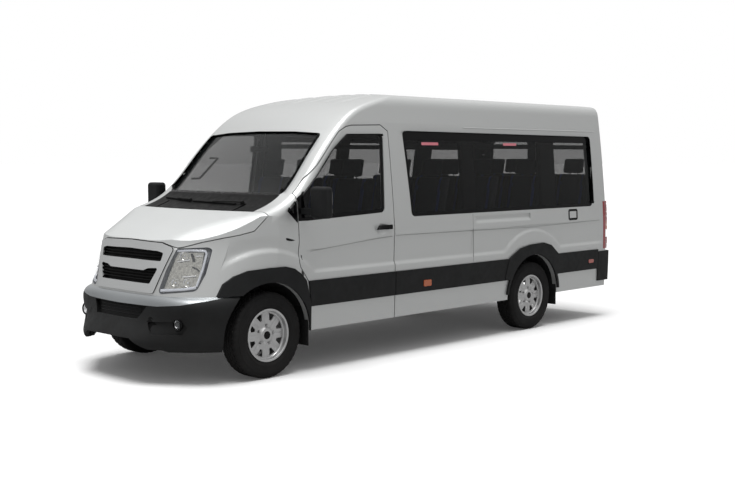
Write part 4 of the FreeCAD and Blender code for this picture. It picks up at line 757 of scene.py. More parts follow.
def traced(surface: Surface, points: list, step: float = 0.05, lift: float = 0) -> list:
    """Places and normals along straight stretches between points of a look.

    Args:
        surface: The surface that the path lies on.
        points: The turning points, across and up.
        step: The longest stretch between two places.
        lift: How far the path stands off.

    Returns:
        Pairs of a place and a normal, for sweep.
    """
    path = []
    for start, end in zip(points, points[1:]):
        count = max(1, math.ceil(math.dist(start, end) / step))
        for index in range(count):
            share = index / count
            path.append(surface.at(start[0] + (end[0] - start[0]) * share,
                                   start[1] + (end[1] - start[1]) * share, lift))
    path.append(surface.at(*points[-1], lift))
    return path


def sighted(surface: Surface, pixels: list, lift: float = 0, parts: int = 4) -> list:
    """Places and normals along straight stretches between pixels of the photograph.

    Args:
        surface: The surface that the path lies on.
        pixels: The turning points.
        lift: How far the path stands off.
        parts: Into how many parts each stretch is divided.

    Returns:
        Pairs of a place and a normal, for sweep.
    """
    path = []
    for start, end in zip(pixels, pixels[1:]):
        for index in range(parts):
            share = index / parts
            path.append(surface.seen((start[0] + (end[0] - start[0]) * share,
                                      start[1] + (end[1] - start[1]) * share), lift))
    path.append(surface.seen(pixels[-1], lift))
    return path


def patch(surface: Surface, outline: list, thickness: float, lift: float = 0,
          step: float = 0.04) -> Mesh:
    """A thin plate with a given outline that lies on a surface.

    Args:
        surface: The surface, with its look.
        outline: The outline's points, across and up.
        thickness: How thick the plate is, outward from the lift.
        lift: Where its inner face lies.
        step: The spacing of the cuts that let it bend.

    Returns:
        The bmesh, a closed plate.
    """
    way, first, second = surface.look.value
    mesh = bmesh.new()
    verts = []
    for across, up in outline:
        place = Vector()
        place[first] = across
        place[second] = up
        verts.append(mesh.verts.new(place))
    mesh.faces.new(verts)
    for axis, values in ((first, [p[0] for p in outline]), (second, [p[1] for p in outline])):
        normal = Vector()
        normal[axis] = 1
        count = math.floor((max(values) - min(values)) / step)
        for index in range(1, count + 1):
            cut = Vector()
            cut[axis] = min(values) + (max(values) - min(values)) * index / (count + 1)
            halved(mesh, cut, normal)
    for vert in mesh.verts:
        place, normal = surface.at(vert.co[first], vert.co[second])
        vert.co = place + normal * lift
    mesh.normal_update()
    turned = [face for face in mesh.faces if face.normal.dot(Vector(way)) > 0]
    bmesh.ops.reverse_faces(mesh, faces=turned)
    made = bmesh.ops.extrude_face_region(mesh, geom=mesh.faces[:], use_keep_orig=True)
    outer = kind_in(made["geom"], bmesh.types.BMVert)
    mesh.normal_update()
    moves = [(vert, vert.normal.copy()) for vert in outer]
    for vert, normal in moves:
        facing = normal if normal.dot(Vector(way)) < 0 else -normal
        vert.co += facing * thickness
    bmesh.ops.recalc_face_normals(mesh, faces=mesh.faces)
    return mesh


def rounded(across: float, up: float, half_width: float, half_height: float, radius: float,
            steps: int = 4) -> list:
    """The outline of a box with rounded corners.

    Args:
        across: Its middle across.
        up: Its middle's height.
        half_width: Half of its width.
        half_height: Half of its height.
        radius: The corners' radius.
        steps: Steps round each corner.

    Returns:
        The outline's points.
    """
    points = []
    for quarter, (side, rise) in enumerate(((1, 1), (-1, 1), (-1, -1), (1, -1))):
        centre = (across + side * (half_width - radius), up + rise * (half_height - radius))
        for step in range(steps + 1):
            angle = math.pi / 2 * (quarter + step / steps)
            points.append((centre[0] + radius * math.cos(angle),
                           centre[1] + radius * math.sin(angle)))
    return points


def oval(across: float, up: float, half_width: float, half_height: float,
         steps: int = 20) -> list:
    """The outline of an oval about a middle."""
    return [(across + half_width * math.cos(2 * math.pi * step / steps),
             up + half_height * math.sin(2 * math.pi * step / steps)) for step in range(steps)]


def blend_in(value: float, start: float, end: float) -> float:
    """A smooth step from 0 at start to 1 at end."""
    share = min(1, max(0, (value - start) / (end - start)))
    return share * share * (3 - 2 * share)


def outwardness(centre: Vector, normal: Vector) -> float:
    """How far a face looks out of the vehicle.

    Args:
        centre: The face's middle.
        normal: Its normal.

    Returns:
        A number from 1 outward to -1 inward.
    """
    rear, front, height = SPINE
    spine = Vector((min(front, max(rear, centre.x)), 0, height))
    return normal.dot((centre - spine).normalized())


def lined(mesh: Mesh) -> None:
    """Gives the inner faces of a panel the second finish.

    Args:
        mesh: The panel's mesh.
    """
    mesh.normal_update()
    for face in mesh.faces:
        if outwardness(face.calc_center_median(), face.normal) < INWARD:
            face.material_index = 1


def halved(mesh: Mesh, place: Vector, normal: Vector,
           geom: list | None = None) -> list:
    """Cuts faces in two along a plane and keeps both halves.

    Args:
        mesh: The mesh that they belong to.
        place: A place on the plane.
        normal: The plane's normal.
        geom: What is cut, all of the mesh if nothing is given.

    Returns:
        What was cut, with the new vertices, edges and faces.
    """
    if geom is None:
        geom = whole(mesh)
    return bmesh.ops.bisect_plane(mesh, geom=geom, dist=1e-6, plane_co=place,
                                  plane_no=normal)["geom"]


def corners_of(geom: list) -> set:
    """The vertices of the faces in a list of mesh parts."""
    return {vert for face in kind_in(geom, bmesh.types.BMFace) for vert in face.verts}


def strip(surface: Surface, path: tuple, sink: float, section: tuple) -> Mesh:
    """A low strip along pixels of the photograph, with a width, a height and a depth."""
    return sweep(sighted(surface, list(path), sink), rail(*section))


def laid(surface: Surface, path: tuple, section: tuple) -> Mesh:
    """A low strip along points of a straight look, with a width and a height."""
    return sweep(traced(surface, list(path)), rail(*section))


def scaled(profile: tuple, radius: float) -> list:
    """A turned profile whose radii are shares of a real radius."""
    return [(share * radius, along) for share, along in profile]


# Studio


@dataclass
class Studio:
    """The floor, the soft light and the camera at the photograph's angle."""

    sensor: float = 36
    floor_size: float = 500
    sight: float = 1000
    sky_height: float = 0.75
    sky_levels: tuple = (("", 0.12, 0.5), ("Is Glossy Ray", 0.35, 1.0),
                         ("Is Transmission Ray", 1.0, 1.0), ("Is Camera Ray", 1.0, 1.0))
    floor_tone: float = 0.98
    floor_shade: float = 0.5
    floor_lift: float = 0.05
    suns: tuple = (("overhead", (0.12, 0.06, 1), 2.3, 34),)

    def build(self) -> None:
        """Makes the world, lamps, floor and camera."""
        scene = bpy.context.scene
        scene.view_settings.view_transform = "Standard"
        self.sky()
        self.lamps()
        self.floor()
        data = bpy.data.cameras.new("camera")
        data.sensor_width = self.sensor
        data.lens = self.sensor * VIEW.focal / VIEW.wide
        data.clip_end = self.sight
        camera = bpy.data.objects.new("camera", data)
        scene.collection.objects.link(camera)
        camera.location = VIEW.place
        camera.rotation_euler = VIEW.ahead().to_track_quat("-Z", "Y").to_euler()
        scene.camera = camera

    def sky(self) -> None:
        """A white surround, brighter overhead, that shows plain white to the camera."""
        world = bpy.data.worlds.new("surround")
        bpy.context.scene.world = world
        world.use_nodes = True
        tree = world.node_tree
        background = tree.nodes["Background"]
        background.inputs["Color"].default_value = (1, 1, 1, 1)
        split = tree.nodes.new("ShaderNodeSeparateXYZ")
        tree.links.new(tree.nodes.new("ShaderNodeTexCoord").outputs["Generated"],
                       split.inputs["Vector"])
        rays = tree.nodes.new("ShaderNodeLightPath")
        level = None
        for way, low, high in self.sky_levels:
            slope = tree.nodes.new("ShaderNodeMapRange")
            for label, value in (("From Min", 0), ("From Max", self.sky_height),
                                 ("To Min", low), ("To Max", high)):
                slope.inputs[label].default_value = value
            tree.links.new(split.outputs["Z"], slope.inputs["Value"])
            if level is None:
                level = slope.outputs["Result"]
                continue
            pick = tree.nodes.new("ShaderNodeMix")
            tree.links.new(rays.outputs[way], pick.inputs["Factor"])
            tree.links.new(level, pick.inputs["A"])
            tree.links.new(slope.outputs["Result"], pick.inputs["B"])
            level = pick.outputs["Result"]
        tree.links.new(level, background.inputs["Strength"])

    def lamps(self) -> None:
        """Broad soft suns, so that the floor is lit alike to its edge."""
        for name, way, power, spread in self.suns:
            data = bpy.data.lights.new(name, "SUN")
            data.energy = power
            data.angle = math.radians(spread)
            lamp = bpy.data.objects.new(name, data)
            bpy.context.scene.collection.objects.link(lamp)
            lamp.rotation_euler = (-Vector(way)).to_track_quat("-Z", "Y").to_euler()

    def floor(self) -> None:
        """A pale floor that keeps the object's shadow."""
        mesh = bmesh.new()
        bmesh.ops.create_grid(mesh, x_segments=1, y_segments=1, size=self.floor_size / 2)
        data = bpy.data.meshes.new("floor")
        mesh.to_mesh(data)
        mesh.free()
        item = bpy.data.objects.new("floor_sheet", data)
        bpy.context.scene.collection.objects.link(item)
        nodes = Nodes("pale_floor")
        nodes.set(Roughness=0.9, Specular_IOR_Level=0.0, Emission_Color=(1, 1, 1, 1))
        rays = nodes.add("ShaderNodeLightPath")
        shown = rays.outputs["Is Camera Ray"]
        lift = nodes.add("ShaderNodeMath")
        lift.operation = "MULTIPLY"
        lift.inputs[1].default_value = self.floor_lift
        nodes.link(shown, lift.inputs[0])
        nodes.link(lift.outputs[0], nodes.shader.inputs["Emission Strength"])
        shade, tone = self.floor_shade, self.floor_tone
        nodes.link(nodes.ramp(shown, [(0.0, shade), (1.0, tone)]),
                   nodes.shader.inputs["Base Color"])
        data.materials.append(nodes.material)


# Body panels


@dataclass(frozen=True)
class Pressing:
    """The lines pressed into the body sides: flares, two creases, a slot and handle cups."""

    low_line: float = 0.905
    high_line: float = 1.13
    line_drop: float = 0.075
    line_span: tuple = (0.55, 1.75)
    door_end: tuple = (1.66, 1.8)
    flare_radius: float = 0.745
    flare_soft: float = 0.11
    wheel_places: tuple = (2.155, -1.595)
    wheel_height: float = 0.368
    depth: float = 0.017
    ramp: float = 0.05
    step: float = 0.014
    crisp_loss: float = 0.55
    crisp_reach: float = 0.2
    nose_fade: tuple = (2.42, 2.62)
    tail_fade: tuple = (-2.97, -2.92)
    slot: tuple = (-1.54, -0.585, 1.19, 1.272)
    slot_depth: float = 0.015
    slot_ramp: float = 0.05
    cup_place: tuple = (0.79, 1.205)
    cup_half: tuple = (0.085, 0.052)
    cup_depth: float = 0.011
    cup_flat: float = 0.6
    skin_reach: float = 0.83
    skin_facing: float = 0.6
    cut_reach: tuple = (-3.1, 2.7)
    cut_long: float = 0.03
    cut_high: float = 0.0125
    cut_start: float = 0.76
    cut_rows: int = 44

    def outside(self, x: float, z: float) -> float:
        """The distance out of the flares and over the low line, negative within them.

        Args:
            x: The place along the vehicle.
            z: Its height.

        Returns:
            The distance in metres.
        """
        gaps = [math.dist((x, z), (place, self.wheel_height)) - self.flare_radius
                for place in self.wheel_places]
        return min([z - self.low_line] + gaps)

    def pressed(self, x: float, z: float, left: bool) -> float:
        """How far the skin is pressed in at a place on the side.

        Args:
            x: The place along the vehicle.
            z: Its height.
            left: Whether it is the left side.

        Returns:
            The depth in metres.
        """
        gap = self.outside(x, z)
        line = self.high_line - self.line_drop * blend_in(x, *self.line_span)
        on_door = 1 - blend_in(x, *self.door_end)
        soft = 1 - blend_in(gap, 0, self.flare_soft)
        if gap < 0:
            amount = 1 - blend_in(-gap, 0, self.ramp)
        else:
            crisp = 1 - self.crisp_loss * min(1, gap / self.crisp_reach)
            crisp *= 1 - blend_in(z, line - 0.002, line + self.step)
            amount = crisp * on_door + soft * (1 - on_door)
        amount *= (1 - blend_in(x, *self.nose_fade)) * blend_in(x, *self.tail_fade)
        shift = self.depth * amount
        start, end, low, high = self.slot
        if left and start < x < end and low < z < high:
            shift = max(shift, self.slot_depth * blend_in(z, low, low + self.slot_ramp))
        cup = math.hypot((x - self.cup_place[0]) / self.cup_half[0],
                         (z - self.cup_place[1]) / self.cup_half[1])
        return max(shift, self.cup_depth * (1 - blend_in(cup, self.cup_flat, 1)))

    def cuts(self, start: float, end: float) -> list:
        """The planes that cut the outer skin finely enough to be pressed.

        Args:
            start: Where the skin starts along the vehicle.
            end: Where it ends.

        Returns:
            Pairs of a plane's normal and its place along that normal.
        """
        columns = int((end - start) / self.cut_long)
        planes = [(ALONG, start + self.cut_long * index) for index in range(1, columns + 1)]
        planes += [(UP, self.cut_start + self.cut_high * index) for index in range(self.cut_rows)]
        planes += [(ALONG, place) for place in self.slot[:2]]
        return planes + [(UP, self.slot[3]), (UP, self.slot[3] + 0.001)]

    def press(self, mesh: Mesh) -> None:
        """Cuts the outer skin finely and presses the lines into it.

        Args:
            mesh: A body panel's mesh.
        """
        mesh.normal_update()
        faces = []
        for face in mesh.faces:
            centre = face.calc_center_median()
            outward = face.normal.y * (1 if centre.y > 0 else -1)
            if outward > self.skin_facing and abs(centre.y) > self.skin_reach:
                faces.append(face)
        geom = list({item for face in faces for item in (*face.verts, *face.edges)}) + faces
        spots = [vert.co for face in faces for vert in face.verts]
        start = max(min(spot.x for spot in spots), self.cut_reach[0])
        end = min(max(spot.x for spot in spots), self.cut_reach[1])
        for normal, place in self.cuts(start, end):
            geom = halved(mesh, normal * place, normal, geom)
        for vert in corners_of(geom):
            side = 1 if vert.co.y > 0 else -1
            vert.co.y -= side * self.pressed(vert.co.x, vert.co.z, side > 0)


@dataclass
class Bodywork:
    """The painted panels and the glass that the frame holds."""

    pressing: Pressing = field(default_factory=Pressing)
    band: tuple = (-2.86, 0.47, 1.285, 2.14)
    post: float = 0.57
    pane_sink: float = 0.003
    handle: tuple = (0.655, 0.875, 1.192, 1.252)
    handle_reach: float = 0.9955
    frit: float = 0.034
    sail: tuple = (1.742, 1.322, 1.6)
    sail_facing: float = 0.85
    nose: tuple = (3.117, -0.214, -0.0065, 0.08, -0.764, -0.076, 0.27)
    mesh_depth: float = 0.007
    lamp_edge: float = -2.978
    lamp_reach: float = 0.93
    top_frit: float = 2.03
    hollows: tuple = ((0.0, 0.42, 0.53, 0.66), (0.43, 0.655, 0.455, 0.56))
    hollow_depth: float = 0.007
    bumper_reach: float = 0.66
    nose_slope: float = 0.27
    rib_places: tuple = (-0.46, -0.23, 0.0, 0.23, 0.46)
    rib_width: float = 0.05
    rib_depth: float = 0.006
    rib_fade: tuple = (0.56, 0.62)
    rib_rear: tuple = (-2.8, -2.7)
    rib_front: tuple = (0.78, 0.9)
    roof_flat: float = 2.34
    roof_facing: float = 0.9
    cut_across: float = 0.0125
    cut_along: float = 0.05
    cuts_across: range = range(-52, 53)
    cuts_along: range = range(-57, 20)
    skin: Surface | None = None

    def build(self) -> None:
        """Dresses every panel and pane."""
        self.skin = Surface(("side_panels", "roof"))
        self.shell()
        self.doors()
        self.trims()
        self.glass()

    def shell(self) -> None:
        """Dresses the fixed painted panels."""
        for node in ("front_panel", "cab_frame"):
            SHOP.skin(node, BODY_PAINT, "body_paint", lined, (LINING,))
        SHOP.skin("rear_frame", BODY_PAINT, "body_paint", self.cornered, (LINING, RED_LENS))
        SHOP.skin("roof", BODY_PAINT, "body_paint", self.ribbed, (LINING,))
        SHOP.skin("fenders", BODY_PAINT, "body_paint", self.side, (LINING,))
        for node in ("side_panels", "sliding_door"):
            SHOP.skin(node, BODY_PAINT, "body_paint", self.banded, (LINING, GLOSS_BLACK))

    def doors(self) -> None:
        """Dresses the four hinged doors with their panes, cladding and mirrors."""
        for hand in ("left", "right"):
            door = "rear_door_" + hand
            SHOP.skin(door, BODY_PAINT, "body_paint", lined, (LINING,), door)
            SHOP.skin("rear_window_" + hand, SIDE_GLASS, "tinted_glass", self.edged,
                      (GLOSS_BLACK,), door)
        for body, hand in (("driver_door", "left"), ("passenger_door", "right")):
            SHOP.skin(body, BODY_PAINT, "body_paint", self.door, (LINING, GLOSS_BLACK), body)
            SHOP.skin(body + "_window", SIDE_GLASS, "tinted_glass", self.edged,
                      (GLOSS_BLACK,), body)
            SHOP.skin(body + "_cladding", BLACK_PLASTIC, "black_plastic", body=body)
            SHOP.skin("mirror_" + hand, BLACK_PLASTIC, "black_plastic", body=body)

    def trims(self) -> None:
        """Dresses the bumpers, the black mouldings, the bonnet and the grille."""
        SHOP.skin("front_bumper", BLACK_PLASTIC, "black_plastic", self.shade_hollows, (BLACK_WITH_PAINTED_SHADE,))
        for node in ("rear_bumper", "side_cladding", "mud_flaps", "wheel_housings"):
            SHOP.skin(node, BLACK_PLASTIC, "black_plastic")
        # The scuttle is black plastic, taken past the moulded black as painted shade under the
        # windscreen's foot.
        SHOP.skin("scuttle", BLACK_WITH_PAINTED_SHADE, "black_plastic")
        SHOP.skin("bonnet", LIT_BONNET_PAINT, "bonnet_paint", body="bonnet")
        SHOP.skin("bumper_strip", STRIP_SILVER, "body_paint")
        SHOP.skin("grille", TRIM_SILVER, "grille_silver", self.mesh_and_shade, (BLACK_WITH_PAINTED_SHADE,))

    def glass(self) -> None:
        """Dresses the fixed panes."""
        SHOP.skin("side_windows", SIDE_GLASS, "tinted_glass", self.banded_glass, (GLOSS_BLACK,))
        SHOP.skin("windscreen", SCREEN_GLASS, "windscreen_glass", self.edged, (GLOSS_BLACK,))

    def side(self, mesh: Mesh) -> None:
        """Presses a side panel and lines its back."""
        self.pressing.press(mesh)
        lined(mesh)

    def banded(self, mesh: Mesh) -> None:
        """Makes a side panel whose posts behind the long window are black.

        Args:
            mesh: The panel's mesh.
        """
        self.side(mesh)
        start, end, low, high = self.band
        for face in mesh.faces:
            centre = face.calc_center_median()
            if start < centre.x < end and low < centre.z < high and face.material_index == 0:
                face.material_index = 2 if self.behind_glass(centre) else 0

    def behind_glass(self, centre: Vector) -> bool:
        """Whether a side panel's face lies deeper than the skin at the panel's whole post."""
        return abs(centre.y) < self.skin.at(self.post, centre.z)[0].y - self.pane_sink

    def door(self, mesh: Mesh) -> None:
        """Makes a front door with its black pull handle and its black corner by the mirror.

        Args:
            mesh: The door's mesh.
        """
        front, low, high = self.sail
        for place, normal in ((front, ALONG), (low, UP)):
            halved(mesh, normal * place, normal)
        self.side(mesh)
        start, end, foot, top = self.handle
        for face in mesh.faces:
            centre = face.calc_center_median()
            on_sail = (centre.x > front and low < centre.z < high
                       and abs(face.normal.y) > self.sail_facing)
            on_handle = (start < centre.x < end and foot < centre.z < top
                         and abs(centre.y) > self.handle_reach)
            if on_sail or on_handle:
                face.material_index = 2

    def edged(self, mesh: Mesh) -> None:
        """Prints a black edge round the outer face of a pane.

        Args:
            mesh: The pane's mesh.
        """
        mesh.normal_update()
        outer = [face for face in mesh.faces
                 if outwardness(face.calc_center_median(), face.normal) > 0.25
                 and face.normal.z > -0.5]
        made = bmesh.ops.inset_region(mesh, faces=outer, thickness=self.frit, use_even_offset=True,
                                      use_boundary=True)
        for face in made["faces"]:
            face.material_index = 1

    def banded_glass(self, mesh: Mesh) -> None:
        """Makes the long side windows, whose printed edge is deeper along the top.

        Args:
            mesh: The panes' mesh.
        """
        halved(mesh, UP * self.top_frit, UP)
        self.edged(mesh)
        for face in mesh.faces:
            if face.calc_center_median().z > self.top_frit:
                face.material_index = 1

    def shade_hollows(self, mesh: Mesh) -> None:
        """Makes the front bumper, with painted shade: its faces recessed in the air intake and
        beside the fog lamps take a deeper black.

        Args:
            mesh: The bumper's mesh.
        """
        front = Surface(("front_bumper",), Look.FRONT)
        for face in mesh.faces:
            centre = face.calc_center_median()
            for near, far, low, high in self.hollows:
                if near <= abs(centre.y) < far and low < centre.z < high:
                    across = min(max(centre.y, -self.bumper_reach), self.bumper_reach)
                    skin = front.at(across, low)[0].x - self.nose_slope * (centre.z - low)
                    if skin - centre.x > self.hollow_depth:
                        face.material_index = 1

    def ribbed(self, mesh: Mesh) -> None:
        """Leaves long ribs standing in the roof, between shallow pressed fields.

        Args:
            mesh: The roof's mesh.
        """
        mesh.normal_update()
        faces = [face for face in mesh.faces if face.normal.z > self.roof_facing
                 and face.calc_center_median().z > self.roof_flat]
        geom = list({item for face in faces for item in (*face.verts, *face.edges)}) + faces
        for index in self.cuts_across:
            geom = halved(mesh, LEFTWARD * (self.cut_across * index), LEFTWARD, geom)
        for index in self.cuts_along:
            geom = halved(mesh, ALONG * (self.cut_along * index), ALONG, geom)
        for vert in corners_of(geom):
            nearest = min(abs(vert.co.y - place) for place in self.rib_places)
            field_share = blend_in(nearest, self.rib_width / 2, self.rib_width)
            edge_share = 1 - blend_in(abs(vert.co.y), *self.rib_fade)
            end_share = blend_in(vert.co.x, *self.rib_rear)
            end_share *= 1 - blend_in(vert.co.x, *self.rib_front)
            vert.co.z -= self.rib_depth * field_share * edge_share * end_share
        lined(mesh)

    def mesh_and_shade(self, mesh: Mesh) -> None:
        """Makes the grille's slats and their backing near-black behind the silver frame: black
        plastic, with painted shade for the openings between the slats.

        Args:
            mesh: The grille's mesh.
        """
        for face in mesh.faces:
            centre = face.calc_center_median()
            if self.nose_place(centre.y, centre.z) - centre.x > self.mesh_depth:
                face.material_index = 1

    def nose_place(self, y: float, z: float) -> float:
        """The place along the vehicle of the nose's outer face, a smooth curve through it."""
        terms = (1, z, z * z, y * y, y ** 4, y * y * z, y ** 6)
        return sum(share * term for share, term in zip(self.nose, terms))

    def cornered(self, mesh: Mesh) -> None:
        """Makes the rear frame, whose outer corners carry the tail lamps round to the sides.

        Args:
            mesh: The rear frame's mesh.
        """
        low, high = (corner.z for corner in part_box("tail_lamps"))
        for place, normal in ((self.lamp_edge, ALONG), (low, UP), (high, UP)):
            halved(mesh, normal * place, normal)
        self.side(mesh)
        for face in mesh.faces:
            centre = face.calc_center_median()
            if (centre.x < self.lamp_edge and low < centre.z < high
                    and abs(centre.y) > self.lamp_reach):
                face.material_index = 2


@dataclass
class SideTrim:
    """Lamps, labels, seams and small fittings on the two sides."""

    lamp_wall: float = 0.006
    lamp_sink: float = -0.001
    repeater: tuple = (1.912, 1.177, 0.066, 0.021)
    repeater_wall: float = 0.007
    repeater_sink: float = -0.008
    amber_marker: tuple = (0.168, 0.655, 0.056, 0.031, 0.014)
    red_marker: tuple = (-2.713, 0.672, 0.052, 0.021, 0.018)
    labels: tuple = ((0.03, 2.0, 0.125, 0.014, 0.006), (-1.26, 2.004, 0.115, 0.013, 0.006))
    label_wall: float = 0.0006
    flap: tuple = (-2.357, 1.223, 0.079, 0.050)
    flap_line: float = 0.026
    flap_height: float = 0.0015
    flap_corner: float = 0.004
    flap_wall: float = 0.0008
    flap_sink: float = -0.0002
    seam: tuple = ((-0.555, 1.295), (-0.555, 0.812))
    seam_section: tuple = (0.004, 0.0003)
    drip: tuple = ((-0.5, 2.165), (-2.9, 2.165))
    drip_section: tuple = (0.012, 0.004)
    door_crease: tuple = ((1.7, 1.056), (1.363, 1.083), (0.886, 1.12), (0.65, 1.132))
    body_crease: tuple = ((0.6, 1.136), (0.549, 1.137), (-1.545, 1.118), (-2.9, 1.138))
    crease_section: tuple = (0.004, 0.0004)
    slide_rail: tuple = ((-2.72, 1.232), (-0.62, 1.232))
    slide_section: tuple = (0.05, 0.012)
    slide_handle: tuple = (0.46, 1.22, 0.1, 0.022, 0.02)
    slide_handle_wall: float = 0.02
    hangers: tuple = ((1.716, 0.399, 0.6), (-2.046, 0.399, 0.52))
    hanger_reach: tuple = (0.8, 0.985)
    hanger_wall: float = 0.008
    hanger_edge: float = 0.001
    mirror_middle: float = 1.2
    mirror_panes: tuple = ((1.518, 0.072, 0.068, 0.02), (1.414, 0.072, 0.024, 0.012))
    mirror_wall: float = 0.003
    left: Surface | None = None
    right: Surface | None = None

    def build(self) -> None:
        """Makes every fitting on both sides."""
        self.left = Surface(("side_panels", "fenders", "driver_door", "side_cladding",
                             "side_windows", "roof"))
        self.right = Surface(("side_panels", "sliding_door", "fenders", "passenger_door",
                              "side_cladding", "side_windows", "roof"), Look.RIGHT)
        self.lamps()
        labels = [patch(self.left, rounded(*label), self.label_wall) for label in self.labels]
        SHOP.piece("exit_labels", gathered(labels), LABEL_RED)
        self.filler()
        SHOP.piece("panel_seams", laid(self.left, self.seam, self.seam_section), SEAM_GREY)
        self.creases()
        gutters = [laid(side, self.drip, self.drip_section) for side in (self.left, self.right)]
        SHOP.piece("drip_rails", gathered(gutters), BODY_PAINT)
        self.slider()
        self.hung_plates()
        self.mirror_glass()

    def lamps(self) -> None:
        """Makes the repeaters and the two markers of each side."""
        fender = Surface(("fenders",))
        SHOP.piece("side_repeaters", both(patch(fender, oval(*self.repeater), self.repeater_wall,
                                                self.repeater_sink)), GLOSS_BLACK)
        for name, outline, finish in (("amber_markers", self.amber_marker, AMBER_LENS),
                                      ("red_side_markers", self.red_marker, RED_MARK)):
            SHOP.piece(name, both(patch(self.left, rounded(*outline), self.lamp_wall,
                                        self.lamp_sink)), finish)

    def filler(self) -> None:
        """Makes the fuel filler's flap and the dark line round it."""
        across, up, half_wide, half_high = self.flap
        ring = [(across + side * half_wide, up + rise * half_high)
                for side, rise in ((-1, -1), (1, -1), (1, 1), (-1, 1), (-1, -1))]
        lines = [laid(self.left, pair, (self.flap_line, self.flap_height))
                 for pair in zip(ring, ring[1:])]
        SHOP.piece("filler_mark", gathered(lines), GLOSS_BLACK)
        inner = rounded(across, up, half_wide - self.flap_line / 2,
                        half_high - self.flap_line / 2, self.flap_corner)
        SHOP.piece("filler_panel", patch(self.left, inner, self.flap_wall, self.flap_sink),
                   TRIM_SILVER)

    def creases(self) -> None:
        """Draws the shadow under the high crease, on the doors and on the body."""
        line = both(laid(self.left, self.door_crease, self.crease_section))
        for side, hand in ((1, "driver_door"), (-1, "passenger_door")):
            half = line.copy()
            other = [vert for vert in half.verts if vert.co.y * side < 0]
            bmesh.ops.delete(half, geom=other, context="VERTS")
            SHOP.piece(hand + "_crease", half, CREASE_GREY, hand)
        line.free()
        line = both(laid(self.left, self.body_crease, self.crease_section))
        SHOP.piece("body_creases", line, CREASE_GREY)

    def slider(self) -> None:
        """Makes the sliding door's rail and its handle."""
        SHOP.piece("slide_rail", laid(self.right, self.slide_rail, self.slide_section),
                   BLACK_PLASTIC)
        SHOP.piece("slide_handle", patch(self.right, rounded(*self.slide_handle),
                                         self.slide_handle_wall), GLOSS_BLACK)

    def hung_plates(self) -> None:
        """Makes the plates over the mud flaps that close the arches' rear ends."""
        near, far = self.hanger_reach
        plates = [box((x, near, low), (x + self.hanger_wall, far, high), self.hanger_edge)
                  for x, low, high in self.hangers]
        SHOP.piece("flap_hangers", both(gathered(plates)), BLACK_PLASTIC)

    def mirror_glass(self) -> None:
        """Makes the outer mirrors' two glasses."""
        for hand, body, side in (("left", "driver_door", 1), ("right", "passenger_door", -1)):
            back = Surface(("mirror_" + hand,), Look.REAR)
            panes = [patch(back, rounded(side * self.mirror_middle, *pane), self.mirror_wall)
                     for pane in self.mirror_panes]
            SHOP.piece("mirror_glass_" + hand, gathered(panes), CHROME, body)


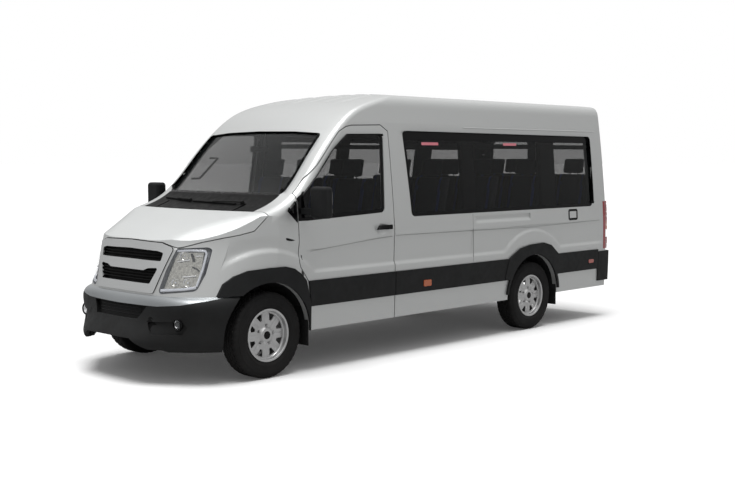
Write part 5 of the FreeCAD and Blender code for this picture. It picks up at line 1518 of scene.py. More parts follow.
@dataclass
class Front:
    """Head lamps, fog lamps, wipers and the bumper's bars. Paths are pixels of the photograph."""

    frame_path: tuple = ((177, 250.8), (190, 250.2), (205.5, 251.0), (206.6, 254), (202.5, 270),
                         (198.8, 280), (196.4, 286.6))
    frame_section: tuple = (0.018, 0.004, 0.01)
    foot_path: tuple = ((196, 287.6), (184, 289.4), (170, 290.2), (160, 290.4))
    foot_section: tuple = (0.022, 0.004, 0.012)
    frame_sink: float = -0.008
    stripes: tuple = (((176.4, 261.4), (189.5, 259.8)), ((181.8, 276.9), (195.6, 275.9)),
                      ((195.4, 256), (201.8, 255.8)))
    stripe_section: tuple = (0.010, 0.003, 0.006)
    stripe_sink: float = -0.016
    blade: tuple = ((191.2, 253.4), (192.6, 257.5), (193.6, 261.5))
    blade_section: tuple = (0.018, 0.003, 0.008)
    blade_sink: float = -0.014
    shade_path: tuple = ((192, 267.0), (196, 268.4), (199.2, 271))
    shade_section: tuple = (0.012, 0.003, 0.006)
    band: tuple = ((209.6, 252), (209.2, 258), (206, 271), (204.4, 277))
    band_section: tuple = (0.022, 0.002, 0.006)
    band_sink: float = -0.006
    reflector: tuple = ((175.9, 251.5), (204, 252), (201, 270), (195, 286), (160.8, 289.6),
                        (168.6, 270))
    reflector_wall: float = 0.003
    reflector_sink: float = -0.034
    reflector_step: float = 0.03
    bowls: tuple = (((183.5, 255.6), 0.036), ((173.8, 282.2), 0.03), ((187, 282.6), 0.034))
    bowl_sink: float = -0.03
    bowl_lift: float = 0.004
    bowl_profile: tuple = ((0.2, -0.022), (0.7, -0.012), (1, 0.006), (1.06, 0.006),
                           (1.06, -0.002), (0.76, -0.02), (0.2, -0.03), (0.2, -0.022))
    bulb_profile: tuple = ((0, 0.004), (0.006, 0.002), (0.009, -0.004), (0.009, -0.02),
                           (0, -0.02))
    lens_wall: float = 0.003
    lens_facing: tuple = (0.75, 0.6, 0.25)
    lens_limit: float = 0.72
    fog_place: tuple = (0.69, 0.51)
    fog_radius: float = 0.042
    fog_ring: tuple = ((0.92, -0.01), (1.3, -0.01), (1.3, 0.003), (1.15, 0.008), (0.96, 0.006),
                       (0.92, -0.01))
    fog_bowl: tuple = ((0, -0.03), (0.5, -0.024), (0.95, -0.002), (0.99, -0.002),
                       (0.99, -0.006), (0.5, -0.03), (0, -0.036))
    fog_pane: tuple = ((0, 0.004), (0.6, 0.003), (0.97, 0.0), (0.97, -0.003), (0, -0.001))
    wiper_arms: tuple = (((2.06, 0.52), (2.1, 0.16), (2.09, 0.46), (2.09, -0.14)),
                         ((2.08, -0.2), (2.05, -0.42), (2.08, -0.24), (2.0, -0.68)))
    wiper_step: float = 0.06
    arm_lift: float = 0.016
    arm_section: tuple = (0.02, 0.008)
    rubber_lift: float = 0.006
    rubber_section: tuple = (0.016, 0.01, 0.005)
    pivot_profile: tuple = ((0, 0.03), (0.014, 0.028), (0.019, 0.014), (0.019, -0.004),
                            (0, -0.004))
    bar_heights: tuple = (0.562, 0.588, 0.614)
    bar_half: float = 0.3
    bar_step: float = 0.06
    bar_section: tuple = (0.009, 0.004)
    glass: Surface | None = None

    def build(self) -> None:
        """Makes the front end's fittings."""
        self.glass = Surface(("head_lamps",), Look.FRONT)
        self.lamp_shells()
        self.lamp_lines()
        self.lamp_bowls()
        self.fog_lamps()
        self.wipers()
        self.intake()

    def lamp_shells(self) -> None:
        """Parts each head lamp into a clear lens and a dark housing, both with thin walls."""
        lens = SHOP.copy_of("head_lamps")
        housing = SHOP.copy_of("head_lamps")
        along, across, up = self.lens_facing
        for mesh, keep_front in ((lens, True), (housing, False)):
            mesh.normal_update()
            drop = []
            for face in mesh.faces:
                side = 1 if face.calc_center_median().y > 0 else -1
                facing = Vector((along, across * side, up)).normalized()
                if (face.normal.dot(facing) > self.lens_limit) != keep_front:
                    drop.append(face)
            bmesh.ops.delete(mesh, geom=drop, context="FACES")
            bmesh.ops.recalc_face_normals(mesh, faces=mesh.faces)
        inward = [face for face in lens.faces if face.normal.x < 0]
        bmesh.ops.reverse_faces(lens, faces=inward)
        bmesh.ops.solidify(lens, geom=lens.faces[:], thickness=self.lens_wall)
        bmesh.ops.solidify(housing, geom=housing.faces[:], thickness=self.lens_wall)
        shown = SHOP.piece("lamp_lens", lens, CLEAR_LENS)
        SHOP.piece("lamp_housing", housing, LAMP_DARK)
        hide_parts("head_lamps")

    def lamp_lines(self) -> None:
        """Makes the strips inside the head lamps."""
        glass = self.glass
        frame = [strip(glass, self.frame_path, self.frame_sink, self.frame_section),
                 strip(glass, self.foot_path, self.frame_sink, self.foot_section)]
        SHOP.piece("lamp_light_frame", both(gathered(frame)), GUIDE)
        stripes = [strip(glass, path, self.stripe_sink, self.stripe_section)
                   for path in self.stripes]
        SHOP.piece("lamp_stripes", both(gathered(stripes)), CHROME)
        dark = [strip(glass, self.blade, self.blade_sink, self.blade_section),
                strip(glass, self.shade_path, self.stripe_sink, self.shade_section)]
        SHOP.piece("lamp_blades", both(gathered(dark)), GLOSS_BLACK)
        SHOP.piece("lamp_outer_band", both(strip(glass, self.band, self.band_sink,
                                                 self.band_section)), LAMP_DARK)

    def lamp_bowls(self) -> None:
        """Makes the head lamps' reflector plate, bowls and bulbs."""
        places = [self.glass.seen(pixel)[0] for pixel in self.reflector]
        plate = patch(self.glass, [(place.y, place.z) for place in places], self.reflector_wall,
                      self.reflector_sink, self.reflector_step)
        SHOP.piece("lamp_reflector", both(plate), REFLECTOR)
        bowls = []
        bulbs = []
        for pixel, radius in self.bowls:
            place, normal = self.glass.seen(pixel, self.bowl_sink)
            bowls.append(lathe(scaled(self.bowl_profile, radius),
                               place + normal * self.bowl_lift, normal, 28))
            bulbs.append(lathe(self.bulb_profile, place, normal, 16))
        SHOP.piece("lamp_bowls", both(gathered(bowls)), CHROME)
        SHOP.piece("lamp_bulbs", both(gathered(bulbs)), GUIDE)

    def fog_lamps(self) -> None:
        """Makes round fog lamps: a dark ring, a bright bowl and a clear glass."""
        place, _ = Surface(("fog_lamps",), Look.FRONT).at(*self.fog_place)
        for name, profile, finish in (("fog_rings", self.fog_ring, GLOSS_BLACK),
                                      ("fog_bowls", self.fog_bowl, CHROME)):
            SHOP.piece(name, both(lathe(scaled(profile, self.fog_radius), place, ALONG, 40)),
                       finish)
        lens = SHOP.piece("fog_glass", both(lathe(scaled(self.fog_pane, self.fog_radius), place,
                                                  ALONG, 40)), CLEAR_LENS)
        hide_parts("fog_lamps")

    def wipers(self) -> None:
        """Makes two wiper arms with their blades, parked along the foot of the windscreen."""
        screen = Surface(("windscreen", "scuttle", "cab_frame"), Look.TOP)
        parts = []
        for pivot, elbow, start, tip in self.wiper_arms:
            parts.append(sweep(traced(screen, [pivot, elbow], self.wiper_step, self.arm_lift),
                               rail(*self.arm_section)))
            parts.append(sweep(traced(screen, [start, elbow, tip], self.wiper_step,
                                      self.rubber_lift), rail(*self.rubber_section)))
            place, normal = screen.at(*pivot)
            parts.append(lathe(self.pivot_profile, place, normal, 20))
        SHOP.piece("wipers", gathered(parts), SEAL)

    def intake(self) -> None:
        """Makes thin bars across the bumper's air intake."""
        surface = Surface(("front_bumper",), Look.FRONT)
        bars = [sweep(traced(surface, [(-self.bar_half, up), (self.bar_half, up)],
                             self.bar_step), rail(*self.bar_section))
                for up in self.bar_heights]
        SHOP.piece("intake_bars", gathered(bars), GLOSS_BLACK)


@dataclass
class Rear:
    """Tail lamps, the blank plate, handles and lamps of the rear doors."""

    fields: tuple = (0.93, 1.02, 1.12)
    lamp_facing: float = -0.7
    lamp_face: float = -3.06
    lamp_bulge: float = 0.045
    plate: tuple = (0.38, 0.93, 0.26, 0.058)
    plate_corner: float = 0.01
    plate_wall: float = 0.002
    surround: float = 0.02
    surround_wall: float = 0.006
    plate_lamp: tuple = (0.11, 0.014, 0.008)
    plate_lamp_rise: float = 0.045
    plate_lamp_wall: float = 0.016
    handle: tuple = (-0.085, 1.18, 0.03, 0.085, 0.02)
    handle_wall: float = 0.018
    stop_lamp: tuple = (0, 2.225, 0.16, 0.014, 0.01)
    stop_lamp_wall: float = 0.004
    pad: tuple = (0.013, 0.05, 0.006)
    pad_line: float = -3.092
    pad_gap: float = 0.14
    pad_wall: float = 0.002

    def build(self) -> None:
        """Makes the rear end's fittings."""
        SHOP.skin("tail_lamps", RED_LENS, "red_lens", self.split, (AMBER_LENS, CLEAR_LENS))
        self.plate_set(Surface(("rear_door_left",), Look.REAR))
        right = Surface(("rear_door_right",), Look.REAR)
        SHOP.piece("rear_handle", patch(right, rounded(*self.handle), self.handle_wall),
                   GLOSS_BLACK, "rear_door_right")
        top = Surface(("rear_frame", "roof"), Look.REAR)
        SHOP.piece("high_stop_lamp", patch(top, rounded(*self.stop_lamp), self.stop_lamp_wall),
                   RED_LENS)
        tread = Surface(("rear_bumper",), Look.TOP)
        pads = [patch(tread, rounded(self.pad_line, self.pad_gap * index, *self.pad),
                      self.pad_wall) for index in range(-3, 4)]
        SHOP.piece("step_pads", gathered(pads), SEAL)

    def plate_set(self, door: Surface) -> None:
        """Makes the blank plate, its surround and its lamp.

        Args:
            door: The outer face of the door that carries them.
        """
        across, up, half_wide, half_high = self.plate
        around = rounded(across, up, half_wide + self.surround, half_high + self.surround,
                         self.surround)
        SHOP.piece("plate_surround", patch(door, around, self.surround_wall), BLACK_PLASTIC,
                   "rear_door_left")
        SHOP.piece("blank_plate", patch(door, rounded(*self.plate, self.plate_corner),
                                        self.plate_wall, self.surround_wall), PALE_PLATE,
                   "rear_door_left")
        lamp = rounded(across, up + half_high + self.plate_lamp_rise, *self.plate_lamp)
        SHOP.piece("plate_lamp", patch(door, lamp, self.plate_lamp_wall), GLOSS_BLACK,
                   "rear_door_left")

    def split(self, mesh: Mesh) -> None:
        """Parts the tail lamps into red, amber and clear fields and raises them off the body.

        Args:
            mesh: The tail lamps' mesh.
        """
        for height in self.fields:
            halved(mesh, UP * height, UP)
        low, middle, high = self.fields
        for face in mesh.faces:
            height = face.calc_center_median().z
            if face.normal.x < self.lamp_facing and low < height < high:
                face.material_index = 2 if height < middle else 1
        bmesh.ops.translate(mesh, verts=[v for v in mesh.verts if v.co.x < self.lamp_face],
                            vec=ALONG * -self.lamp_bulge)


# Wheels and running gear


@dataclass
class Wheel:
    """A tyre with tread and an alloy wheel with eight slots, on one side of an axle."""

    radius: float = 0.368
    width: float = 0.215
    track: float = 1.735
    tread: tuple = ((0.0, 0.368), (0.0115, 0.368), (0.013, 0.361), (0.02, 0.361),
                    (0.0215, 0.368), (0.0455, 0.368), (0.047, 0.361), (0.053, 0.361),
                    (0.0545, 0.368), (0.066, 0.3678), (0.075, 0.367), (0.082, 0.365),
                    (0.0885, 0.361), (0.094, 0.354), (0.0985, 0.343), (0.1015, 0.333),
                    (0.1015, 0.3305), (0.1045, 0.3295), (0.1065, 0.312), (0.107, 0.295),
                    (0.1065, 0.278), (0.105, 0.262), (0.1055, 0.2595), (0.104, 0.257),
                    (0.101, 0.246), (0.096, 0.237), (0.0905, 0.2305), (0.09, 0.214))
    tread_steps: int = 168
    tread_foot: float = 0.352
    middle_rib: float = 0.0205
    shoulder: float = 0.046
    sipe_depth: float = 0.005
    sipe_every: int = 4
    well: tuple = ((0.2045, 0.0105), (0.226, 0.0105), (0.226, 0.0172), (0.2137, 0.0172),
                   (0.2137, 0.1978), (0.226, 0.1978), (0.226, 0.2035), (0.2245, 0.2045),
                   (0.2105, 0.2045), (0.2075, 0.2015), (0.2055, 0.186), (0.2045, 0.168),
                   (0.2035, 0.155), (0.2035, 0.02), (0.2045, 0.0105))
    disc: tuple = ((0.034, 0.184), (0.05, 0.1845), (0.058, 0.182), (0.066, 0.172), (0.074, 0.165),
                   (0.095, 0.161), (0.112, 0.162), (0.128, 0.1645), (0.147, 0.166),
                   (0.167, 0.1655), (0.186, 0.163), (0.194, 0.1605), (0.2, 0.162),
                   (0.2045, 0.168))
    disc_wall: float = 0.009
    slots: int = 8
    columns: int = 12
    slot_low: float = 0.128
    slot_high: float = 0.186
    slot_halves: tuple = (0.011, 0.033)
    groove: float = 0.005
    groove_side_share: float = 0.4
    groove_reach: tuple = (0.09, 0.19)
    nut_circle: float = 0.082
    nut_turn: float = 0.45
    nut_seat: float = 0.1625
    nuts: int = 5
    cap: tuple = ((0, 0.1905), (0.012, 0.1905), (0.014, 0.1885), (0.028, 0.1885), (0.033, 0.187),
                  (0.0345, 0.184), (0.0345, 0.176), (0, 0.176))
    pit: tuple = ((0.0135, 0.0015), (0.0155, 0.0005), (0.0155, -0.006), (0.0135, -0.006),
                  (0.0135, 0.0015))
    # A black disc at the foot of each nut pit: painted shade in the pit.
    pit_floor_shade: tuple = ((0, 0.0005), (0.0135, 0.0005), (0.0135, -0.004), (0, -0.004))
    nut: tuple = ((0, 0.0135), (0.0075, 0.0135), (0.0095, 0.011), (0.0095, -0.002), (0, -0.002))
    valve: tuple = ((0, 0.02), (0.0035, 0.019), (0.0035, 0.0), (0, 0.0))
    valve_place: tuple = (0.196, 0.163)

    def tyre(self) -> Mesh:
        """The tyre about a cross axis, with grooves round it and sipes across its shoulders.

        Returns:
            The bmesh.
        """
        profile = [(reach, -across) for across, reach in reversed(self.tread)]
        profile += [(reach, across) for across, reach in self.tread[1:]]
        profile.append(profile[0])
        steps = self.tread_steps
        mesh = lathe(profile, Vector(), LEFTWARD, steps)
        for vert in mesh.verts:
            index = round(math.atan2(vert.co.z, vert.co.x) / (2 * math.pi) * steps) % steps
            across = abs(vert.co.y)
            reach = math.hypot(vert.co.x, vert.co.z)
            sipe = 0 if across < self.shoulder else self.sipe_every / 2
            if (reach > self.tread_foot and across > self.middle_rib
                    and index % self.sipe_every == sipe):
                shrink = (reach - self.sipe_depth) / reach
                vert.co.x *= shrink
                vert.co.z *= shrink
        return mesh

    def barrel(self) -> Mesh:
        """The rim's well with its two flanges, in places from the tyre's inner plane."""
        return lathe(self.well, Vector((0, -self.width / 2, 0)), LEFTWARD, 96)

    def half_slot(self, radius: float) -> float:
        """Half of a slot's angle at a radius.

        Args:
            radius: The distance from the wheel's axis.

        Returns:
            The angle in radians.
        """
        share = min(1, max(0, (radius - self.slot_low) / (self.slot_high - self.slot_low)))
        inner, outer = self.slot_halves
        return (inner + (outer - inner) * share) / radius

    def spread(self, column: int, half: float) -> float:
        """Where a column of the disc lies in its sector, so that four columns span the slot.

        Args:
            column: The column's number in the sector.
            half: Half of the slot's angle.

        Returns:
            The angle from the sector's start, in radians.
        """
        sector = 2 * math.pi / self.slots
        third = self.columns // 3
        if column < third:
            return column / third * (sector / 2 - half)
        if column > 2 * third:
            return sector - (self.columns - column) / third * (sector / 2 - half)
        return sector / 2 + (column - self.columns / 2) / (third / 2) * half

    def face(self) -> Mesh:
        """The wheel's disc: a dished ring cut by slots, with shallow grooves in its spokes.

        Returns:
            The bmesh.
        """
        mesh = bmesh.new()
        verts = [mesh.verts.new((radius, 0, along)) for radius, along in self.disc]
        edges = [mesh.edges.new(pair) for pair in zip(verts, verts[1:])]
        steps = self.slots * self.columns
        bmesh.ops.spin(mesh, geom=verts + edges, cent=(0, 0, 0), axis=(0, 0, 1),
                       angle=2 * math.pi, steps=steps, use_merge=True)
        self.slotted(mesh)
        for vert in mesh.verts:
            radius = math.hypot(vert.co.x, vert.co.y)
            angle = math.atan2(vert.co.y, vert.co.x)
            column = round(angle / (2 * math.pi) * steps) % self.columns
            angle += self.spread(column, self.half_slot(radius)) - column * 2 * math.pi / steps
            vert.co.x = radius * math.cos(angle)
            vert.co.y = radius * math.sin(angle)
            low, high = self.groove_reach
            if column in (0, 1, self.columns - 1) and low < radius < high:
                vert.co.z -= self.groove * (self.groove_side_share if column else 1)
        bmesh.ops.recalc_face_normals(mesh, faces=mesh.faces)
        turned = [item for item in mesh.faces if item.normal.z < 0]
        bmesh.ops.reverse_faces(mesh, faces=turned)
        made = bmesh.ops.extrude_face_region(mesh, geom=mesh.faces[:], use_keep_orig=True)
        inner = kind_in(made["geom"], bmesh.types.BMVert)
        bmesh.ops.translate(mesh, verts=inner, vec=UP * -self.disc_wall)
        bmesh.ops.recalc_face_normals(mesh, faces=mesh.faces)
        turn = LEFTWARD.to_track_quat("Z", "Y").to_matrix().to_4x4()
        mesh.transform(Matrix.Translation((0, -self.width / 2, 0)) @ turn)
        return mesh

    def slotted(self, mesh: Mesh) -> None:
        """Takes the slots' faces out of the disc.

        Args:
            mesh: The disc, a ring of columns about Z.
        """
        sector = 2 * math.pi / self.slots
        third = self.columns // 3
        cut = []
        for item in mesh.faces:
            centre = item.calc_center_median()
            radius = math.hypot(centre.x, centre.y)
            column = (math.atan2(centre.y, centre.x) % sector) / sector * self.columns
            if self.slot_low < radius < self.slot_high and third < column < 2 * third:
                cut.append(item)
        bmesh.ops.delete(mesh, geom=cut, context="FACES")

    def ring_of(self, profile: tuple, steps: int) -> Mesh:
        """Repeats a small turned part round the nut circle.

        Args:
            profile: The part's profile, from the nuts' seat.
            steps: Steps round the part.

        Returns:
            The bmesh.
        """
        parts = []
        for index in range(self.nuts):
            angle = 2 * math.pi * index / self.nuts + self.nut_turn
            place = Vector((math.cos(angle), 0, math.sin(angle))) * self.nut_circle
            place += LEFTWARD * (self.nut_seat - self.width / 2)
            parts.append(lathe(profile, place, LEFTWARD, steps))
        return gathered(parts)

    def build(self, place: str, hand: str, x: float) -> None:
        """Makes one wheel's pieces.

        Args:
            place: front or rear.
            hand: left or right.
            x: The axle's place along the vehicle.
        """
        side = 1 if hand == "left" else -1
        body = "%s_wheel_%s" % (place, hand)
        name = "%s_%s" % (place, hand)
        foot, along = self.valve_place
        valve = lathe(self.valve, Vector((foot, along - self.width / 2, 0)), LEFTWARD, 12)
        cap = lathe(self.cap, Vector((0, -self.width / 2, 0)), LEFTWARD, 40)
        alloy = gathered([self.barrel(), self.face(), self.ring_of(self.pit, 18)])
        # The nut pits' floors are black as painted shade in the pits; the cap and the valve are
        # black parts.
        dark = gathered([cap, self.ring_of(self.pit_floor_shade, 18), valve])
        parts = (("tyre_tread_", self.tyre(), RUBBER, "tyre_rubber"),
                 ("wheel_alloy_", alloy, ALLOY, "wheel_silver"),
                 ("wheel_cap_", dark, GLOSS_BLACK, ""),
                 ("wheel_nuts_", self.ring_of(self.nut, 6), STEEL, ""))
        for label, mesh, finish, slot in parts:
            if side < 0:
                mirrored(mesh)
            bmesh.ops.translate(mesh, verts=mesh.verts,
                                vec=(x, side * self.track / 2, self.radius))
            item = SHOP.piece(label + name, mesh, finish, body)
            if label == "tyre_tread_":
                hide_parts("tyre_" + name)
            if label == "wheel_alloy_":
                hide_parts("wheel_" + name)


@dataclass
class Running:
    """Wheels, axles, frame and the masses under the floor."""

    axles: tuple = (("front", 2.155), ("rear", -1.595))

    def build(self) -> None:
        """Makes the wheels and dresses the running gear."""
        for place, x in self.axles:
            for hand in ("left", "right"):
                Wheel().build(place, hand, x)
        for node in ("chassis", "rear_axle", "front_suspension", "knuckle_left",
                     "knuckle_right", "drive_shaft", "fuel_tank"):
            SHOP.dress(node, FRAME_BLACK)
        for node in ("engine", "gearbox"):
            SHOP.dress(node, CAST_METAL)
        for node in ("door_hinges", "bonnet_hinges", "exhaust"):
            SHOP.dress(node, STEEL)


# Cabin


@dataclass
class Pad:
    """A stuffed block with sewn channels and two stripes, made about the origin."""

    span: tuple
    stuffing: float = 0.012
    inset_share: float = 0.6
    corner_share: float = 0.45
    voxel: float = 0.014
    pressure: float = 4
    frames: int = 20
    swell: float = 0.012
    channel: tuple = (0.6, 0.05)
    cross_channel: tuple = (0.25, 0.06)
    bolster: tuple = (0.82, 0.2)
    channel_depth: float = 0.008
    bolster_rise: float = 0.006
    face_sink: float = 0.004
    stripe: tuple = (0.62, 0.8)

    def block(self) -> bpy.types.Object:
        """A rounded block with an even grid of faces, a little smaller than the pad.

        Returns:
            The block as an object of the scene.
        """
        half = Vector(self.span) / 2 - Vector((self.stuffing,) * 3) * self.inset_share
        start = box(-half, half, min(half) * self.corner_share, 3)
        data = bpy.data.meshes.new("pad_block")
        start.to_mesh(data)
        start.free()
        item = bpy.data.objects.new("pad_block", data)
        bpy.context.scene.collection.objects.link(item)
        grid = item.modifiers.new("grid", "REMESH")
        grid.mode = "VOXEL"
        grid.voxel_size = self.voxel
        graph = bpy.context.evaluated_depsgraph_get()
        mesh = bpy.data.meshes.new_from_object(item.evaluated_get(graph))
        item.modifiers.clear()
        item.data = mesh
        return item

    def blow_up(self, item: bpy.types.Object) -> None:
        """Swells the block as stuffed cloth, by no more than the swell.

        Args:
            item: The block.
        """
        scene = bpy.context.scene
        cloth = item.modifiers.new("stuffing", "CLOTH")
        cloth.settings.use_pressure = True
        cloth.settings.uniform_pressure_force = self.pressure
        cloth.settings.effector_weights.gravity = 0
        for frame in range(1, self.frames + 1):
            scene.frame_set(frame)
        graph = bpy.context.evaluated_depsgraph_get()
        blown = bpy.data.meshes.new_from_object(item.evaluated_get(graph))
        for vert, swollen in zip(item.data.vertices, blown.vertices):
            move = swollen.co - vert.co
            if move.length > self.swell:
                move *= self.swell / move.length
            vert.co = vert.co + move
        item.modifiers.clear()
        scene.frame_set(1)

    def stuffed(self) -> Mesh:
        """The pad without its seams, blown up and brought to its full size.

        Returns:
            The pad's bmesh.
        """
        item = self.block()
        self.blow_up(item)
        mesh = bmesh.new()
        mesh.from_mesh(item.data)
        bmesh.ops.smooth_vert(mesh, verts=mesh.verts, factor=0.5, use_axis_x=True,
                              use_axis_y=True, use_axis_z=True)
        bpy.data.objects.remove(item)
        for axis in range(3):
            reach = max(abs(vert.co[axis]) for vert in mesh.verts)
            scale = self.span[axis] / 2 / reach
            for vert in mesh.verts:
                vert.co[axis] *= scale
        return mesh

    def sewn(self, face_axis: int, long_axis: int) -> Mesh:
        """The pad with channels sewn into its sitting face and its stripes marked.

        Args:
            face_axis: The axis that its sitting face looks along.
            long_axis: The other axis of that face, besides across.

        Returns:
            The pad's bmesh.
        """
        mesh = self.stuffed()
        half = Vector(self.span) / 2
        middle, reach = self.channel
        cross, cross_reach = self.cross_channel
        swell_middle, swell_reach = self.bolster
        for vert in mesh.verts:
            if vert.co[face_axis] / half[face_axis] < 0.2:
                continue
            across = abs(vert.co.y) / half.y
            along = vert.co[long_axis] / half[long_axis]
            groove = math.exp(-((across - middle) / reach) ** 2)
            if across < middle:
                groove = max(groove, 0.8 * math.exp(-((along - cross) / cross_reach) ** 2))
            bolster = 0.5 * max(0, 1 - ((across - swell_middle) / swell_reach) ** 2)
            vert.co[face_axis] -= (self.channel_depth * groove - self.bolster_rise * bolster
                                   + self.face_sink)
        inner, outer = self.stripe
        for face in mesh.faces:
            across = abs(face.calc_center_median().y) / half.y
            face.material_index = 1 if inner < across < outer else 0
        return mesh


@dataclass
class Seats:
    """Padded seats on steel legs, in the places that the frame's seats hold."""

    depth: float = 0.45
    thick: float = 0.11
    rise: float = 0.44
    back: float = 0.62
    lean: float = 0.124
    floor: float = 0.61
    rest_width: float = 0.26
    rest_height: float = 0.17
    rest_seam: float = 0.03
    rest_gap: float = 0.012
    leg_width: float = 0.06
    foot: float = 0.03
    shell_inset: float = 0.02
    edge: float = 0.008
    post_radius: float = 0.006
    post_length: float = 0.07
    post_place: float = 0.06
    row_width: float = 0.43
    cab: tuple = ((0.5, 0.54), (-0.16, 0.46), (-0.64, 0.46))
    cab_front: float = 1.31125
    rows: tuple = (0.355, -0.44488, -1.24513)
    row_places: tuple = ((0.245, 0), (0.678, -1), (-0.67, 1))
    bench_front: float = -2.24538
    bench_places: tuple = ((-0.6495, 1), (-0.2165, 0), (0.2165, 0), (0.6495, -1))

    def groups(self) -> list:
        """Every piece of seats with the places of its seats.

        Returns:
            Pairs of a name and seats, each a front edge, a place across, a width and a leg's
            side: -1 inboard right, 1 inboard left or 0 for the middle.
        """
        made = [("cab", [(self.cab_front, y, width, 0) for y, width in self.cab])]
        for index, front in enumerate(self.rows):
            made.append(("row_%d" % (index + 1), [(front, y, self.row_width, leg)
                                                  for y, leg in self.row_places]))
        made.append(("bench", [(self.bench_front, y, self.row_width, leg)
                               for y, leg in self.bench_places]))
        return made

    def build(self) -> None:
        """Makes all seats."""
        thick = self.thick
        pads = {}
        for width in (self.cab[0][1], self.cab[1][1], self.row_width):
            pads[width] = (Pad((self.depth, width, thick)).sewn(2, 0),
                           Pad((thick, width, self.back + thick * 0.3)).sewn(0, 2))
        head = Pad((thick * 0.7, self.rest_width,
                    self.rest_height + thick / 4 - self.rest_seam)).stuffed()
        frames = []
        for name, seats in self.groups():
            mesh = bmesh.new()
            for front, y, width, leg in seats:
                self.place(mesh, pads[width], head, front, y)
                frames += self.legs(front, y, width, leg)
            item = SHOP.piece("seats_" + name, mesh, SEAT_CLOTH, extra=(BLUE_CLOTH,))
        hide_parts("cab_seats")
        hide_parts("passenger_seats")
        SHOP.piece("seat_frames", gathered(frames), CABIN_GREY)
        for mesh in (head, *(pad for pair in pads.values() for pad in pair)):
            mesh.free()

    def place(self, target: Mesh, pads: tuple, head: Mesh,
              front: float, y: float) -> None:
        """Adds one seat's cushion, back and headrest to a mesh.

        Args:
            target: The mesh that takes them.
            pads: The cushion and the back, each about the origin.
            head: The headrest about the origin.
            front: Where the cushion's front is.
            y: The seat's middle across the vehicle.
        """
        rear = front - self.depth
        seat = self.floor + self.rise
        lean = Matrix.Identity(4)
        lean[0][2] = -self.lean / self.back
        drop = self.thick * 0.15
        cushion = Vector((front - self.depth / 2, y, seat - self.thick / 2))
        back = Vector((rear - self.thick / 2 - self.lean / 2 + self.lean / self.back * drop, y,
                       seat + self.back / 2 - drop))
        rest = Vector((rear - self.lean - self.thick * 0.5, y,
                       seat + self.back + self.rest_height / 2 + self.rest_gap))
        for pad, middle, turn in ((pads[0], cushion, Matrix.Identity(4)), (pads[1], back, lean),
                                  (head, rest, lean)):
            copy = pad.copy()
            copy.transform(Matrix.Translation(middle) @ turn)
            join(target, copy)

    def legs(self, front: float, y: float, width: float, leg: int) -> list:
        """A seat's foot, its shell under the cushion and the headrest's two posts.

        Args:
            front: Where the cushion's front is.
            y: The seat's middle across the vehicle.
            width: The seat's width.
            leg: The side that the leg stands on, -1, 0 or 1.

        Returns:
            The parts' bmeshes.
        """
        rear = front - self.depth
        toe = front - self.depth / 4
        seat = self.floor + self.rise
        under = seat - self.thick
        inset = self.shell_inset
        at = y + leg * (width / 2 - self.leg_width)
        half = self.leg_width / 2
        parts = [box((rear + inset, at - half, self.floor), (toe, at + half,
                                                             self.floor + self.foot), self.edge),
                 box((rear + 4 * inset, at - half * 0.6, self.floor + inset),
                     (toe - 3 * inset, at + half * 0.6, under + inset / 2), self.edge * 1.25),
                 box((rear, y - width / 2 + inset, under - self.edge / 2),
                     (front - inset, y + width / 2 - inset, under + inset), self.edge)]
        for side in (-1, 1):
            post = Vector((rear - self.lean - self.thick * 0.45, y + side * self.post_place,
                           seat + self.back - self.rest_seam))
            parts.append(lathe([(0, 0), (self.post_radius, 0),
                                (self.post_radius, self.post_length), (0, self.post_length)],
                               post, UP, 12))
        return parts


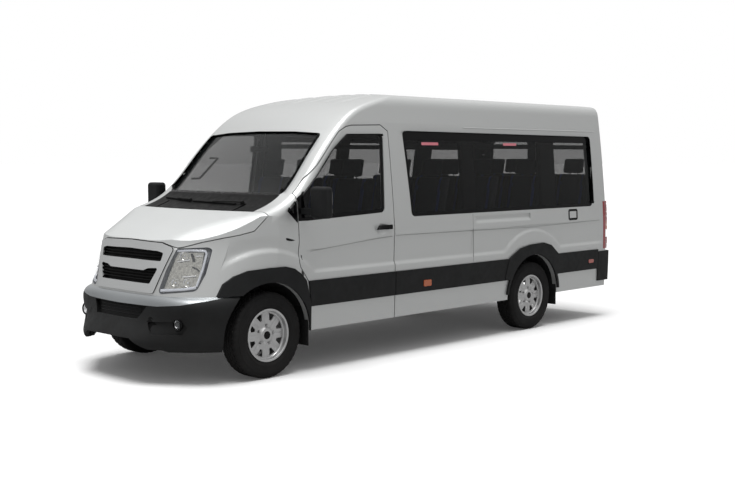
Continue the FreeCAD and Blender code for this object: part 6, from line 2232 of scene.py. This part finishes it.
@dataclass
class Cabin:
    """Everything else seen through the glass."""

    trim_wall: float = 0.006
    screen: tuple = (0.0, 1.2, 0.11, 0.05, 0.01)
    dials: tuple = (0.5, 1.26, 0.15, 0.045, 0.03)
    vent_places: tuple = (0.82, 0.2, -0.2, -0.82)
    vent_half: float = 0.04
    vent_foot: float = 1.2
    vent_gap: float = 0.014
    vent_bars: int = 4
    vent_section: tuple = (0.008, 0.004)
    handle_radius: float = 0.011
    handle_low: tuple = (1.62, 0.80, 1.66)
    handle_high: tuple = (1.42, 0.76, 1.86)
    handle_bow: tuple = (-0.06, -0.05, 0.0)
    mirror_low: tuple = (1.415, -0.12, 1.915)
    mirror_high: tuple = (1.44, 0.12, 1.975)
    mirror_edge: float = 0.01
    stem_foot: tuple = (1.44, 0, 1.975)
    stem_way: tuple = (-0.3, 0, 1)
    stem: tuple = ((0, 0), (0.008, 0), (0.008, 0.05), (0, 0.05))

    def build(self) -> None:
        """Dresses the cabin."""
        for node in ("dashboard", "luggage_racks", "steering_wheel"):
            SHOP.dress(node, CABIN_GREY)
        SHOP.dress("floor", FLOOR_VINYL)
        Seats().build()
        self.dash()
        self.handles()

    def dash(self) -> None:
        """Makes a blank screen, a dial cover and vents on the dashboard."""
        face = Surface(("dashboard",), Look.REAR)
        SHOP.piece("dash_screen", patch(face, rounded(*self.screen), self.trim_wall),
                   GLOSS_BLACK)
        SHOP.piece("dial_cover", patch(face, rounded(*self.dials), self.trim_wall), GLOSS_BLACK)
        vents = []
        for across in self.vent_places:
            for index in range(self.vent_bars):
                up = self.vent_foot + self.vent_gap * index
                ends = [(across - self.vent_half, up), (across + self.vent_half, up)]
                vents.append(sweep(traced(face, ends, self.vent_half), rail(*self.vent_section)))
        SHOP.piece("dash_vents", gathered(vents), STEEL)

    def handles(self) -> None:
        """Makes grab handles on the windscreen pillars, and an inner mirror."""
        parts = []
        for side in (1, -1):
            low, high, bow = (Vector((along, side * across, up)) for along, across, up
                              in (self.handle_low, self.handle_high, self.handle_bow))
            normal = Vector((0, -side, 0))
            path = [(low, normal), (low + bow, normal), (high + bow, normal), (high, normal)]
            parts.append(sweep(path, tube(self.handle_radius)))
        SHOP.piece("pillar_handles", gathered(parts), LINING)
        stem = lathe(self.stem, Vector(self.stem_foot), Vector(self.stem_way).normalized(), 12)
        glass = box(self.mirror_low, self.mirror_high, self.mirror_edge)
        SHOP.piece("inner_mirror", gathered([glass, stem]), GLOSS_BLACK)


def main() -> None:
    """Builds the whole vehicle in order and reports every piece."""
    logging.basicConfig(level=logging.INFO)
    FRAME.update(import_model())
    for builder in (Studio(), Bodywork(), SideTrim(), Front(), Rear(), Running(), Cabin()):
        first = len(SHOP.made)
        builder.build()
        for name in SHOP.made[first:]:
            LOG.info("%s made %s", type(builder).__name__, name)
    LOG.info("%d new pieces", len(SHOP.made))


if __name__ == "__main__":
    main()
